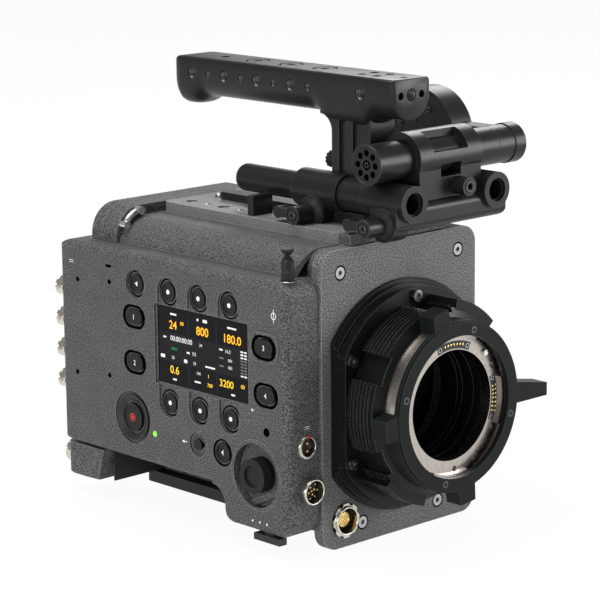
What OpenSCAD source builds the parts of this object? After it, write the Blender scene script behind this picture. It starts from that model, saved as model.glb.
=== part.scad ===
// Digital cinema camera with a top handle and a viewfinder bracket.
// X runs across the camera, Y runs back from the lens, Z runs up.
// The modules measure back from the front face and up from the lens axis.
// placed() then puts the origin at the tripod socket in the base.

/* [Body] */
// Height of the lens axis above the base
axis_height = 69.4; // [68:0.1:74]
// Half of the width of the front plate
face_half = 52.8; // [51:0.1:55]
// Height of the front plate above the lens axis
face_top = 76.6; // [74:0.1:80]
// Thickness of the front plate
face_thick = 6; // [5:0.5:7]
// Corner radius of the front plate
face_round = 9; // [6:0.5:11]
// Distance from the front face to the rear face of the body
body_depth = 157.5; // [150:0.5:170]
// Length of the rear body casting
rear_depth = 19.5; // [16:0.5:24]
// Thickness of the body walls
wall = 3; // [2.4:0.1:3.6]
// Height of the raised rear casting above the lens axis
rear_top = 82; // [81:0.1:84]
// Radius of the rounded shoulder over the control panel
shoulder_round = 17; // [15:0.5:18]
// How far the shoulder stands out from the lens axis
shoulder_side = 61.5; // [60:0.1:63]

/* [Control panel] */
// How far the control panel stands out from the lens axis
panel_side = 74; // [72:0.1:78]
// How far the control panel reaches behind the rear face of the body
panel_over = 13.5; // [10:0.5:18]
// Height of the top of the panel above the lens axis
panel_top = 64.5; // [63:0.1:66]
// Depth of the long lower edge of the panel below the lens axis
panel_drop = 41.5; // [41:0.1:43]
// Depth of the front lower lobe of the panel below the lens axis
lobe_drop = 59.5; // [58:0.1:61]
// Length of the front lower lobe of the panel
lobe_length = 46; // [44:0.1:48]
// Thickness of the panel skin
panel_skin = 3.2; // [3:0.1:3.6]
// Width of the display
display_w = 66.5; // [60:0.1:68]
// Height of the display
display_h = 39; // [36:0.1:40]
// Diameter of the round keys
round_key_d = 10; // [9:0.1:10.4]
// Length of the oblong keys
oblong_key_w = 12; // [11:0.1:12.6]
// Height of the oblong keys
oblong_key_h = 7.6; // [7:0.1:8.2]
// Travel of a key when it is pressed
key_travel = 0.7; // [0.5:0.05:0.8]
// Diameter of the record key
record_key_d = 14.8; // [13:0.1:16]
// Diameter of the menu dial
dial_d = 17; // [15:0.1:19]

/* [Lens mount] */
// Diameter of the bore of the lens flange
bore_d = 54; // [52:0.1:55]
// Distance from the front face to the lens seat
seat_out = 34.3; // [33.8:0.1:35]
// Diameter of the lock ring
ring_d = 81.8; // [81:0.1:83]
// Diameter of the round foot of the lens mount
foot_d = 114.2; // [112:0.1:116]
// Diameter of the ribbed barrel
barrel_d = 92; // [90:0.1:94]
// Distance of the mount screws from the edge of the foot
screw_inset = 7.1; // [6.8:0.1:7.6]

/* [Handle] */
// Length of the handle
handle_length = 158; // [150:0.5:165]
// Width of the handle
handle_width = 25; // [23:0.1:26]
// Height of the top of the handle above the lens axis
handle_top = 154; // [150:0.1:160]
// Distance that the handle reaches ahead of the front face
handle_ahead = 7.5; // [5:0.1:9]
// Spacing of the threaded holes along the handle
handle_pitch = 24.2; // [22:0.1:25]
// Diameter of the viewfinder cross tube
cross_d = 19; // [18:0.1:19.4]
// Length of the viewfinder cross tube
cross_length = 94; // [90:0.5:100]
// Diameter of the fore and aft rod
rod_d = 14; // [13:0.1:14.4]
// Spacing of the two rod sockets
socket_pitch = 57.5; // [56:0.1:60]
// Bore of the rod sockets
socket_bore_d = 10.2; // [9.6:0.1:10.4]

/* [Hidden] */

// Facets of round things that fit or turn, and of small round things
round_fn = 96;
small_fn = 32;
// One overrun serves all cuts
over = 1;
// Gap between curved faces of neighbouring pieces
seam_gap = 0.3;
// Radial clearance of keys, knobs and sliders in their holes
key_gap = 0.2;
// Radial clearance of turning and sliding fits
run_gap = 0.05;

// Origin at the tripod socket, this far behind the front face
socket_back = 60;
// Diameters of the large and the small tripod thread
tripod_d = 9.525;
stud_thread_d = 6.35;
stud_thread_gap = 19;
base_thick = 6;
base_round = 4;

split_depth = body_depth - rear_depth;
panel_rear = body_depth + panel_over;
frame_half = face_half - 1.8;
frame_left = face_half - 2.8;
frame_top = face_top + 0.4;
frame_round = 9;
recess_side = 31;
recess_top = -panel_drop - 0.5;
vent_w = 6.5;
vent_h = 13;
vent_pitch = 9.5;
vent_back = 31;
vent_first = split_depth - vent_back;
vent_count = 4;
bulkhead = 4;
light_hole_r = 34;

rear_left = shoulder_side + 1;
rear_round = 15;
plate_half = 31.5;
plate_thick = rear_top - frame_top;
plate_front = 10;
plate_round = 3;
bridge_front = 1.7;
cheese_d = 6.35;
insert_d = 4.2;
cheese_pitch = 24.2;
cheese_back = 35.5;
cheese_first = split_depth - cheese_back;
cheese_side = 21.7;
cheese_count = 2;

// Helpers that turn flat outlines into solids along one axis

module placed() {
    translate([0, -socket_back, axis_height]) children();
}

module along_y(from, to) {
    translate([0, to, 0]) rotate([90, 0, 0]) linear_extrude(to - from) children();
}

module along_x(from, to) {
    translate([from, 0, 0]) rotate([90, 0, 90]) linear_extrude(to - from) children();
}

module rod_y(r, from, to, x = 0, z = 0, fn = round_fn) {
    translate([x, to, z]) rotate([90, 0, 0]) cylinder(r = r, h = to - from, $fn = fn);
}

module rod_x(r, from, to, y = 0, z = 0, fn = round_fn) {
    translate([from, y, z]) rotate([0, 90, 0]) cylinder(r = r, h = to - from, $fn = fn);
}

module rod_z(r, from, to, x = 0, y = 0, fn = round_fn) {
    translate([x, y, from]) cylinder(r = r, h = to - from, $fn = fn);
}

// Solid of revolution about the X axis, its profile given as radius and place
module turned_x(y, z) {
    translate([0, y, z]) rotate([0, 90, 0]) rotate_extrude($fn = round_fn) children();
}

// Solid of revolution about the lens axis, its profile given as radius and distance ahead of the face
module turned_y(x = 0, z = 0) {
    translate([x, 0, z]) rotate([90, 0, 0]) rotate_extrude($fn = round_fn) children();
}

// Rectangle from its low corner to its high corner with a radius at each corner
module rounded(low, high, r) {
    translate([low[0] + r, low[1]]) square([high[0] - low[0] - 2 * r, high[1] - low[1]]);
    translate([low[0], low[1] + r]) square([high[0] - low[0], high[1] - low[1] - 2 * r]);
    for (u = [low[0] + r, high[0] - r], v = [low[1] + r, high[1] - r])
        translate([u, v]) circle(r = r, $fn = small_fn);
}

module box(low, high) {
    translate(low) cube(high - low);
}

// Slot outline with round ends, long along its first axis
module slot(w, h) {
    square([w - h, h], center = true);
    for (s = [-1, 1]) translate([s * (w - h) / 2, 0]) circle(r = h / 2, $fn = small_fn);
}

// Front plate and its holes
plate_screw_side = 40.3;
plate_screw_high = 65.4;
foot_screw_side = 26.2;
plate_screw_low = -59.6;
screw_head_r = 2.9;
screw_head_h = 2.2;
screw_shank_r = 2;
screw_shank_l = 12;
screw_socket_r = 1.3;
screw_hole_gap = 0.2;
finder_side = -38.3;
finder_low = -56;
finder_r = 8.6;

module plate_screw_places() {
    for (s = [-1, 1]) {
        translate([s * plate_screw_side, 0, plate_screw_high]) children();
        translate([s * foot_screw_side, 0, plate_screw_low]) children();
    }
}

module front_plate() color("#55565a") placed() difference() {
    along_y(0, face_thick) rounded([-face_half, -axis_height], [face_half, face_top], face_round);
    rod_y(light_hole_r, -over, face_thick + over);
    plate_screw_places() {
        rod_y(screw_head_r + seam_gap, -over, screw_head_h + seam_gap, fn = small_fn);
        rod_y(screw_shank_r + screw_hole_gap, -over, face_thick + over, fn = small_fn);
    }
    mount_screw_places() rod_y(screw_shank_r + screw_hole_gap, -over, face_thick + over, fn = small_fn);
    rod_y(finder_r + key_gap, -over, face_thick + over, finder_side, finder_low, small_fn);
}

// Main casting, an open box along Y with a recess under the control panel
frame_floor = -axis_height + base_thick;
cover_skin = 2.5;
shelf_top = frame_top - 5;
flange_end = face_thick + wall;
cover_edge = plate_half + 0.5;

module frame_outline(inset = 0) {
    rounded([-frame_left + inset, recess_top + inset], [frame_half - inset, shelf_top - inset], frame_round - inset);
    rounded([-recess_side + inset, frame_floor + inset], [frame_half - inset, shelf_top - inset], frame_round - inset);
    translate([-cover_edge + inset, 0]) square([cover_edge + frame_half / 2 - inset, frame_top - inset]);
    rounded([0, 0], [frame_half - inset, frame_top - inset], frame_round - inset);
}

module main_frame() color("#4d4e52") placed() difference() {
    union() {
        along_y(face_thick, split_depth) frame_outline();
        along_y(face_thick, flange_end) rounded([-face_half, frame_floor], [face_half, face_top], face_round);
        along_y(bridge_front, plate_front - seam_gap)
            translate([-cover_edge, frame_top]) square([2 * cover_edge, plate_thick]);
    }
    difference() {
        along_y(face_thick + bulkhead, split_depth + over) frame_outline(wall);
        main_board_posts();
    }
    rod_y(light_hole_r, face_thick - over, face_thick + bulkhead + over);
    mount_screw_places() rod_y(screw_shank_r + screw_hole_gap, -over, screw_shank_l, fn = small_fn);
    plate_screw_places() rod_y(screw_shank_r + screw_hole_gap, -over, screw_shank_l + over, fn = small_fn);
    rod_y(finder_r + key_gap, face_thick - over, face_thick + bulkhead + over, finder_side, finder_low, small_fn);
    for (i = [0:vent_count - 1])
        box([-recess_side - over, vent_first + i * vent_pitch - vent_w / 2, frame_floor + wall],
            [-recess_side + wall + over, vent_first + i * vent_pitch + vent_w / 2, frame_floor + wall + vent_h]);
    box([-cover_edge - over, flange_end, frame_top - cover_skin], [-cover_edge + over / 2, flange_end + over / 2, frame_top]);
}

// Rear casting with the raised deck, closed at the back
rear_wall = 4;
groove_w = 0.8;
groove_back = 9.5;
groove_first = body_depth - groove_back;
groove_pitch = 4.5;
groove_count = 2;
deck_round = 3;
outlet_w = 60;
outlet_h = 5;
outlet_pitch = 9;
outlet_low = 20;
outlet_count = 3;

module deck_outline(inset = 0) {
    intersection() {
        rounded([-rear_left + inset, 0], [0, rear_top - inset], rear_round - inset);
        translate([-rear_left, panel_top + seam_gap]) square([rear_left, rear_top]);
    }
    translate([-rear_left / 2, rear_top / 2]) square([rear_left / 2 + plate_half / 2, rear_top / 2 - inset]);
    rounded([0, 0], [plate_half - inset, rear_top - inset], deck_round - inset);
}

module rear_frame() color("#4d4e52") placed() difference() {
    along_y(split_depth, body_depth) union() {
        deck_outline();
        frame_outline();
    }
    along_y(split_depth - over, body_depth - rear_wall) frame_outline(wall);
    for (i = [0:groove_count - 1])
        along_y(groove_first + i * groove_pitch, groove_first + i * groove_pitch + groove_w) difference() {
            translate([-rear_left - over, panel_top + wall]) square([rear_left + plate_half + 2 * over, rear_top]);
            deck_outline(groove_w);
        }
    for (i = [0:outlet_count - 1])
        box([-outlet_w / 2, body_depth - rear_wall - over, outlet_low + i * outlet_pitch],
            [outlet_w / 2, body_depth + over, outlet_low + i * outlet_pitch + outlet_h]);
}

// Base with the tripod threads, which is what the camera stands on
module bottom_plate() color("#3a3b3e") placed() difference() {
    translate([0, 0, -axis_height]) linear_extrude(base_thick)
        rounded([-recess_side, face_thick], [frame_half, body_depth], base_round);
    rod_z(tripod_d / 2, -axis_height - over, frame_floor + over, 0, socket_back);
    for (s = [-1, 1])
        rod_z(stud_thread_d / 2, -axis_height - over, frame_floor + over, 0, socket_back + s * stud_thread_gap);
}

// Rounded shoulder over the control panel
cover_plan_round = 7;

module shoulder_outline(inset) {
    translate([-shoulder_side + shoulder_round, frame_top - shoulder_round])
        circle(r = shoulder_round - inset, $fn = round_fn);
    translate([-shoulder_side + shoulder_round, frame_top - 2 * shoulder_round])
        square([shoulder_side - shoulder_round, 2 * shoulder_round - inset]);
}

module shoulder_cover() color("#57585c") placed() intersection() {
    along_y(flange_end + seam_gap, split_depth - seam_gap) intersection() {
        difference() {
            shoulder_outline(0);
            shoulder_outline(cover_skin);
        }
        translate([-shoulder_side, panel_top + seam_gap])
            square([shoulder_side - cover_edge - seam_gap, shoulder_round]);
    }
    translate([0, 0, panel_top]) linear_extrude(2 * shoulder_round)
        rounded([-shoulder_side, flange_end + seam_gap], [0, split_depth + shoulder_round], cover_plan_round);
}

// Top plate with two rows of accessory threads
module cheese_places() {
    for (s = [-1, 1], i = [0:cheese_count - 1])
        translate([s * cheese_side, cheese_first + i * cheese_pitch]) children();
}

module top_plate() color("#5b5c60") placed() difference() {
    translate([0, 0, frame_top]) linear_extrude(plate_thick)
        rounded([-plate_half, plate_front], [plate_half, split_depth - seam_gap], plate_round);
    cheese_places() {
        rod_z(cheese_d / 2, frame_top - over, rear_top + over, fn = small_fn);
        rod_z(insert_d / 2, frame_top + plate_thick / 2, rear_top + over, 0, -cheese_pitch / 2, small_fn);
    }
}

// Cover on the operator's side with the media door
cover_out = 9.8;
cover_from = 14;
cover_back = 5.5;
cover_to = body_depth - cover_back;
cover_low = -58;
cover_high = 66;
cover_round = 8;
operator_skin = 2.5;
door_from = 93;
door_low = -48;
door_high = 22;
door_thick = 1.6;
door_gap = 0.4;
hinge_r = 1.6;
hinge_pin_r = 1;
hinge_pin_l = 2;
door_hinge_in = 4.5;
door_hinge_y = cover_to - door_hinge_in;
door_hinge_x = frame_half + cover_out - door_thick;
mini_from = 26;
mini_to = 66;
mini_low = 22;
mini_high = 46;
mini_deep = 1.2;
grille_w = 3;
grille_pitch = 6;
grille_count = 8;
grille_low = -46;
grille_high = -22;

module operator_cover() color("#4d4e52") placed() difference() {
    along_x(frame_half, frame_half + cover_out)
        rounded([cover_from, cover_low], [cover_to, cover_high], cover_round);
    along_x(frame_half - over, frame_half + cover_out - operator_skin - door_thick - hinge_r) rounded(
        [cover_from + operator_skin, cover_low + operator_skin],
        [cover_to - operator_skin, cover_high - operator_skin], cover_round - operator_skin);
    box([door_hinge_x - hinge_r - door_gap, door_from - door_gap, door_low - door_gap],
        [frame_half + cover_out + over, door_hinge_y + hinge_r + 2 * door_gap, door_high + door_gap]);
    for (s = [0, 1])
        rod_z(hinge_pin_r + run_gap, s == 0 ? door_low - hinge_pin_l - door_gap : door_high,
            s == 0 ? door_low : door_high + hinge_pin_l + door_gap, door_hinge_x, door_hinge_y, small_fn);
    box([frame_half + cover_out - mini_deep, mini_from, mini_low], [frame_half + cover_out + over, mini_to, mini_high]);
    for (i = [0:grille_count - 1])
        box([frame_half - over, mini_from + i * grille_pitch, grille_low],
            [frame_half + cover_out + over, mini_from + i * grille_pitch + grille_w, grille_high]);
}

module media_door() color("#4d4e52") placed() union() {
    box([door_hinge_x, door_from, door_low], [door_hinge_x + door_thick, door_hinge_y, door_high]);
    rod_z(hinge_r, door_low, door_high, door_hinge_x, door_hinge_y, small_fn);
    rod_z(hinge_pin_r, door_low - hinge_pin_l, door_high + hinge_pin_l, door_hinge_x, door_hinge_y, small_fn);
}

// Block under the rear of the panel that carries the remote connector
block_side = panel_side - 2;
block_l = 30;
block_front = panel_rear - block_l;
block_slant = 5;
block_foot = -60.5;
block_round = 4;
remote_z = -50;
remote_side = 63;
remote_r = 6.4;

module remote_block() color("#4b4c50") placed() difference() {
    intersection() {
        along_x(-block_side, -recess_side - seam_gap) polygon([
            [block_front, recess_top - seam_gap], [panel_rear, recess_top - seam_gap],
            [panel_rear, block_foot + block_round], [panel_rear - block_round, block_foot],
            [block_front + block_slant, block_foot + wall / 2]]);
        along_y(block_front - over, panel_rear + over)
            rounded([-block_side, block_foot], [0, 0], block_round);
        translate([0, 0, block_foot - over]) linear_extrude(panel_drop)
            rounded([-block_side, block_front - 2 * block_round], [0, panel_rear], block_round);
    }
    rod_y(remote_r + key_gap, panel_rear - wall, panel_rear + over, -remote_side, remote_z, small_fn);
    along_y(block_front - over, body_depth + seam_gap)
        translate([-recess_side - block_round, block_foot - over]) square([block_round + over, panel_drop]);
}

// Battery plate on the back with its wedge and release
battery_w = 84;
battery_low = recess_top + 2 * seam_gap;
battery_high = 50;
battery_thick = 11;
battery_round = 8;
wedge_top = 44;
wedge_foot = 26;
wedge_deep = 5;
wedge_low = -20;
latch_x = 32;
latch_z = -30;
latch_w = 10;
latch_h = 12;
latch_travel = 5;
latch_proud = 2;
latch_deep = 4;

module battery_plate() color("#2b2c2e") placed() difference() {
    along_y(body_depth, body_depth + battery_thick)
        rounded([-battery_w / 2, battery_low], [battery_w / 2, battery_high], battery_round);
    along_y(body_depth + battery_thick - wedge_deep, body_depth + battery_thick + over) polygon([
        [-wedge_foot / 2, wedge_low], [wedge_foot / 2, wedge_low],
        [wedge_top / 2, battery_high + over], [-wedge_top / 2, battery_high + over]]);
    box([latch_x - latch_w / 2 - key_gap, body_depth + battery_thick - latch_deep, latch_z - latch_travel - key_gap],
        [latch_x + latch_w / 2 + key_gap, body_depth + battery_thick + over, latch_z + latch_h + key_gap]);
}

module battery_latch() color("#7a2a22") placed() difference() {
    box([latch_x - latch_w / 2, body_depth + battery_thick - latch_deep + run_gap, latch_z],
        [latch_x + latch_w / 2, body_depth + battery_thick + latch_proud, latch_z + latch_h]);
    for (i = [1:3])
        rod_x(latch_proud / 4, latch_x - latch_w, latch_x + latch_w,
            body_depth + battery_thick + latch_proud, latch_z + i * latch_h / 4, small_fn);
}

// Control panel, a shell over the side of the body with a lobe at its lower front
panel_front = 1.5;
panel_corner = 8;
edge_round = 4.5;
lobe_fillet = 9;
skin_in = -panel_side + panel_skin;
recess_deep = 1.4;
collar_proud = 0.9;
collar_thick = 0.6;
board_face = skin_in + 2 * seam_gap + collar_thick + key_travel;
board_thick = 1.6;

display_y = 62.2;
display_z = 21.8;
display_rim = 0.8;
window_ledge = 1.5;
window_thick = 1.3;

key_first = 42;
key_pitch = 22.2;
key_top_z = 48.5;
key_low_z = -7.1;
key_recess_r = 7.3;
assign_y = 110.4;
assign_z = 49.2;
back_y = 47.3;
back_z = -24.6;
rear_key_y = 111.8;
front_key_y = 16.1;
side_key_high = 32.4;
side_key_low = 9.2;
oblong_dish = 2.6;
bezel_w = 19;
bezel_h = 14;
bezel_proud = 0.9;
record_y = 114.5;
record_z = -19.4;
record_dish_r = 13.5;
lamp_y = 97.8;
lamp_z = -24.9;
lamp_r = 1.6;
lock_y = 65.4;
lock_z = -24.1;
lock_dish_r = 6.2;
lock_knob_r = 2.8;
lock_stem_r = 1.2;
lock_travel = 2.4;
mic_y = 130.9;
mic_z = 55.4;
mic_w = 5;
mic_h = 1.8;
// Small holes, given from the rear edge of the panel, and the head of the panel screw
panel_hole_places = [[-40.5, 47.4], [-39, -0.8], [-15.2, 45.2], [-13, -3.4]];
panel_hole_r = 1.1;
panel_screw_y = 15.9;
panel_screw_z = -8.6;
panel_screw_r = 2.1;

dial_y = 23.3;
dial_z = -31.1;
dial_well_r = 15.8;
dial_rim_r = 17.4;
dial_rim_proud = 0.5;
dial_well = 4.6;
dial_floor = 1.8;
dial_out = 3;
dial_shaft_r = 3;
dial_dish_r = 5.6;
dial_dish = 1.2;
dial_teeth = 30;
dial_tooth_r = 0.45;
ridge_w = 2.6;
ridge_in = 5;
ridge_turn = 26;
ridge_drop = 9.8;

side_pin_z = -15.4;
side_pin_x = -61.2;
side_pin_r = 5.7;
lens_pin_z = -36.6;
lens_pin_x = -61;
lens_pin_r = 6.3;
coax_x = -62;
coax_z = 38.8;
coax_pitch = 15.9;
coax_r = 5.5;
coax_out = 6;
coax_count = 4;
hook_in = 6.8;
hook_x = -panel_side + hook_in;
hook_y = 7.4;
hook_thread_r = 1.5;

selector_y = 8;
selector_w = 18;
selector_in = 2.6;
selector_x = -panel_side + selector_in;
selector_half = 2.4;
selector_h = 3.6;
selector_stem = 1.6;
selector_step = 5;
selector_steps = 3;

module panel_profile() {
    rounded([panel_front, -panel_drop], [panel_rear, panel_top], panel_corner);
    rounded([panel_front, -lobe_drop], [lobe_length, 0], panel_corner);
    translate([lobe_length, -panel_drop]) difference() {
        translate([-over, -lobe_fillet]) square([lobe_fillet + over, lobe_fillet + over]);
        translate([lobe_fillet, -lobe_fillet]) circle(r = lobe_fillet, $fn = small_fn);
    }
}

module panel_block() difference() {
    intersection() {
        along_x(-panel_side, -frame_left) panel_profile();
        along_y(panel_front - over, panel_rear + over)
            rounded([-panel_side, -lobe_drop], [0, panel_top], edge_round);
        translate([0, 0, -axis_height]) linear_extrude(axis_height + panel_top + over)
            rounded([-panel_side, panel_front], [0, panel_rear], edge_round);
    }
    along_y(lobe_length + lobe_fillet, panel_rear + over) translate([-panel_side, -panel_drop]) difference() {
        translate([-over, -over]) square(edge_round + over);
        translate([edge_round, edge_round]) circle(r = edge_round, $fn = small_fn);
    }
    box([-face_half - seam_gap, panel_front - over, -axis_height],
        [0, flange_end + seam_gap, panel_top + over]);
}

module panel_hollow() {
    along_x(skin_in, -frame_left + over) rounded([panel_front + wall, -panel_drop + wall],
        [body_depth - wall, panel_top - wall], panel_corner - wall);
    along_x(skin_in, -frame_left - wall) rounded([panel_front + wall, -panel_drop + wall],
        [panel_rear - wall, panel_top - wall], panel_corner - wall);
    along_x(skin_in, -frame_left - wall) rounded([panel_front + wall, -lobe_drop + wall],
        [lobe_length - wall, 0], panel_corner - wall);
}

module panel_cut(deep, y, z) {
    along_x(-panel_side - over, -panel_side + deep) translate([y, z]) children();
}

module oblong(gap = 0) {
    slot(oblong_key_w + 2 * gap, oblong_key_h + 2 * gap);
}

module main_key_places() {
    for (i = [0:2], z = [key_top_z, key_low_z]) translate([key_first + i * key_pitch, z]) children();
}

module oblong_key_places() {
    for (y = [rear_key_y, front_key_y], z = [side_key_high, side_key_low]) translate([y, z]) children();
}

module panel_posts(r, from, to) {
    for (y = [key_first - key_pitch / 2, rear_key_y + key_pitch], z = [0, key_top_z + key_recess_r])
        rod_x(r, from, to, y, z, small_fn);
}

module control_panel() color("#5c5d60") placed() difference() {
    union() {
        difference() {
            panel_block();
            panel_hollow();
        }
        along_x(-panel_side - bezel_proud, -panel_side + panel_skin) translate([front_key_y, side_key_high])
            rounded([-bezel_w / 2, -bezel_h / 2], [bezel_w / 2, bezel_h / 2], bezel_h / 3);
        rod_x(dial_rim_r, -panel_side - dial_rim_proud, skin_in, dial_y, dial_z);
        rod_x(dial_rim_r, -panel_side + edge_round, -panel_side + dial_well + dial_floor, dial_y, dial_z);
        panel_posts(selector_half, skin_in, board_face);
    }
    panel_cut(recess_deep, display_y, display_z)
        square([display_w + 2 * display_rim, display_h + 2 * display_rim], center = true);
    panel_cut(recess_deep + window_thick, display_y, display_z) square([display_w, display_h], center = true);
    panel_cut(panel_skin + over, display_y, display_z)
        square([display_w - 2 * window_ledge, display_h - 2 * window_ledge], center = true);
    panel_cut(recess_deep, 0, 0) {
        main_key_places() circle(r = key_recess_r, $fn = small_fn);
        for (i = [0:2]) translate([key_first + i * key_pitch - key_recess_r, key_low_z])
            square([2 * key_recess_r, key_top_z - key_low_z]);
        translate([assign_y, assign_z]) circle(r = key_recess_r, $fn = small_fn);
        translate([record_y, record_z]) circle(r = record_dish_r, $fn = round_fn);
        translate([lock_y, lock_z]) circle(r = lock_dish_r, $fn = small_fn);
        translate([panel_screw_y, panel_screw_z]) circle(r = panel_screw_r, $fn = small_fn);
        for (p = panel_hole_places) translate([panel_rear + p[0], p[1]]) circle(r = panel_hole_r, $fn = small_fn);
    }
    panel_cut(recess_deep / 2, 0, 0) {
        oblong_key_places() slot(oblong_key_w + oblong_dish, oblong_key_h + oblong_dish);
        translate([back_y, back_z]) circle(r = round_key_d / 2 + oblong_dish / 2, $fn = small_fn);
        translate([mic_y, mic_z]) slot(mic_w, mic_h);
    }
    panel_cut(panel_skin + over, 0, 0) {
        main_key_places() circle(r = round_key_d / 2 + key_gap, $fn = round_fn);
        translate([assign_y, assign_z]) circle(r = round_key_d / 2 + key_gap, $fn = round_fn);
        translate([back_y, back_z]) circle(r = round_key_d / 2 + key_gap, $fn = round_fn);
        translate([record_y, record_z]) circle(r = record_key_d / 2 + key_gap, $fn = round_fn);
        oblong_key_places() oblong(key_gap);
        translate([lamp_y, lamp_z]) circle(r = lamp_r, $fn = small_fn);
        translate([lock_y - lock_travel / 2, lock_z])
            slot(lock_travel + 2 * lock_stem_r + 2 * key_gap, 2 * lock_stem_r + 2 * key_gap);
    }
    difference() {
        rod_x(dial_well_r, -panel_side - over, -panel_side + dial_well, dial_y, dial_z);
        dial_ridge();
    }
    rod_x(dial_shaft_r + run_gap, -panel_side, -panel_side + dial_well + dial_floor + over, dial_y, dial_z);
    rod_y(side_pin_r + key_gap, -over, panel_front + wall + over, side_pin_x, side_pin_z, small_fn);
    rod_y(lens_pin_r + key_gap, -over, panel_front + wall + over, lens_pin_x, lens_pin_z, small_fn);
    for (i = [0:coax_count - 1])
        rod_y(coax_r + key_gap, panel_rear - wall - over, panel_rear + over, coax_x, coax_z - i * coax_pitch);
    rod_z(hook_thread_r + key_gap, panel_top - 2 * wall, panel_top + over, hook_x, hook_y, small_fn);
    translate([selector_x - selector_stem / 2 - key_gap, selector_y, -lobe_drop - over])
        cube([selector_stem + 2 * key_gap, selector_w + selector_steps * selector_step, wall + 2 * over]);
}

// Finger ridge that crosses the lower part of the dial well
module dial_ridge() {
    translate([0, dial_y, dial_z]) rotate([-ridge_turn, 0, 0])
        box([-panel_side + ridge_in / 2, -dial_well_r, -ridge_drop - ridge_w],
            [-panel_side + dial_well + over, dial_well_r, -ridge_drop]);
}

// Glass over the display, and the display behind it
module display_window() color("#0b0c0e") placed()
    along_x(-panel_side + recess_deep, -panel_side + recess_deep + window_thick) translate([display_y, display_z])
        square([display_w - 2 * run_gap, display_h - 2 * run_gap], center = true);

display_thick = 5;

module display_module() color("#14161a") placed()
    along_x(skin_in, skin_in + display_thick) translate([display_y, display_z])
        square([display_w - window_ledge, display_h - window_ledge], center = true);

// Key board in the panel and main board in the body
board_from = 29;
board_back = 33;
board_to = panel_rear - board_back;
board_margin = 3;
main_board_from = 60;
main_board_back = 6;
main_board_to = split_depth - main_board_back;
main_board_low = -50;
main_board_high = 58;
main_board_x = frame_half - wall - 4;
main_post_r = 3;
chip_w = 22;
chip_h = 2;
encoder_w = 13;

module main_board_posts() {
    for (y = [main_board_from + 2 * main_post_r, main_board_to - 2 * main_post_r],
         z = [main_board_low + 2 * main_post_r, main_board_high - 2 * main_post_r])
        rod_x(main_post_r, main_board_x + board_thick, frame_half - wall + over, y, z, small_fn);
}

module circuit_boards() color("#1d5a35") placed() {
    along_x(board_face, board_face + board_thick) difference() {
        translate([board_from, key_low_z - panel_corner])
            square([board_to - board_from, key_top_z + 2 * panel_corner - key_low_z]);
        translate([display_y, display_z])
            square([display_w + board_margin, display_h + board_margin], center = true);
        translate([board_from - over, display_z - key_recess_r]) square([over + board_margin, key_recess_r]);
    }
    box([main_board_x, main_board_from, main_board_low],
        [main_board_x + board_thick, main_board_to, main_board_high]);
    for (z = [main_board_low + chip_w, main_board_high - chip_w])
        box([main_board_x - chip_h, display_y + chip_w, z - chip_w / 2],
            [main_board_x, display_y + 2 * chip_w, z + chip_w / 2]);
    along_x(-panel_side + dial_well + dial_floor, -panel_side + dial_well + dial_floor + board_thick)
        translate([dial_y, dial_z]) difference() {
            square(encoder_w, center = true);
            circle(r = dial_shaft_r + key_gap, $fn = small_fn);
        }
}

// Keys, each a cap in its hole with a collar behind the skin
key_proud = 0.3;
key_dish = 0.5;

module key_cap(y, z, proud) {
    translate([0, y, z]) {
        along_x(-panel_side - proud, skin_in + seam_gap) children(0);
        along_x(skin_in + seam_gap, skin_in + seam_gap + collar_thick) children(1);
    }
}

module round_key(y, z, d = round_key_d, proud = -key_proud) difference() {
    key_cap(y, z, proud) {
        circle(r = d / 2, $fn = round_fn);
        circle(r = d / 2 + collar_proud, $fn = round_fn);
    }
    rod_x(d / 2 - 2 * key_dish, -panel_side - proud - over, -panel_side - proud + key_dish, y, z);
}

module oblong_key(y, z, proud = key_proud) key_cap(y, z, proud) {
    oblong();
    oblong(collar_proud);
}

module key_top_1() color("#1d1e20") placed() round_key(key_first + 2 * key_pitch, key_top_z);
module key_top_2() color("#1d1e20") placed() round_key(key_first + key_pitch, key_top_z);
module key_top_3() color("#1d1e20") placed() round_key(key_first, key_top_z);
module key_low_1() color("#1d1e20") placed() round_key(key_first + 2 * key_pitch, key_low_z);
module key_low_2() color("#1d1e20") placed() round_key(key_first + key_pitch, key_low_z);
module key_low_3() color("#1d1e20") placed() round_key(key_first, key_low_z);
module key_assign() color("#1d1e20") placed() round_key(assign_y, assign_z);
module key_back() color("#1d1e20") placed() round_key(back_y, back_z, round_key_d, key_proud);
module key_rear_1() color("#1d1e20") placed() oblong_key(rear_key_y, side_key_high);
module key_rear_2() color("#1d1e20") placed() oblong_key(rear_key_y, side_key_low);
module key_front_1() color("#1d1e20") placed() oblong_key(front_key_y, side_key_high, bezel_proud + key_proud);
module key_front_2() color("#1d1e20") placed() oblong_key(front_key_y, side_key_low);
module record_key() color("#3a3b3d") placed() round_key(record_y, record_z, record_key_d, 2 * key_proud);

// Lock switch, a small knob that slides in its dish
module lock_slider() color("#1d1e20") placed() {
    rod_x(lock_knob_r, -panel_side - key_proud, -panel_side + recess_deep - key_gap, lock_y, lock_z, small_fn);
    rod_x(lock_stem_r, -panel_side, skin_in + seam_gap, lock_y, lock_z, small_fn);
    rod_x(lock_knob_r, skin_in + seam_gap, skin_in + seam_gap + collar_thick, lock_y, lock_z, small_fn);
}

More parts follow.
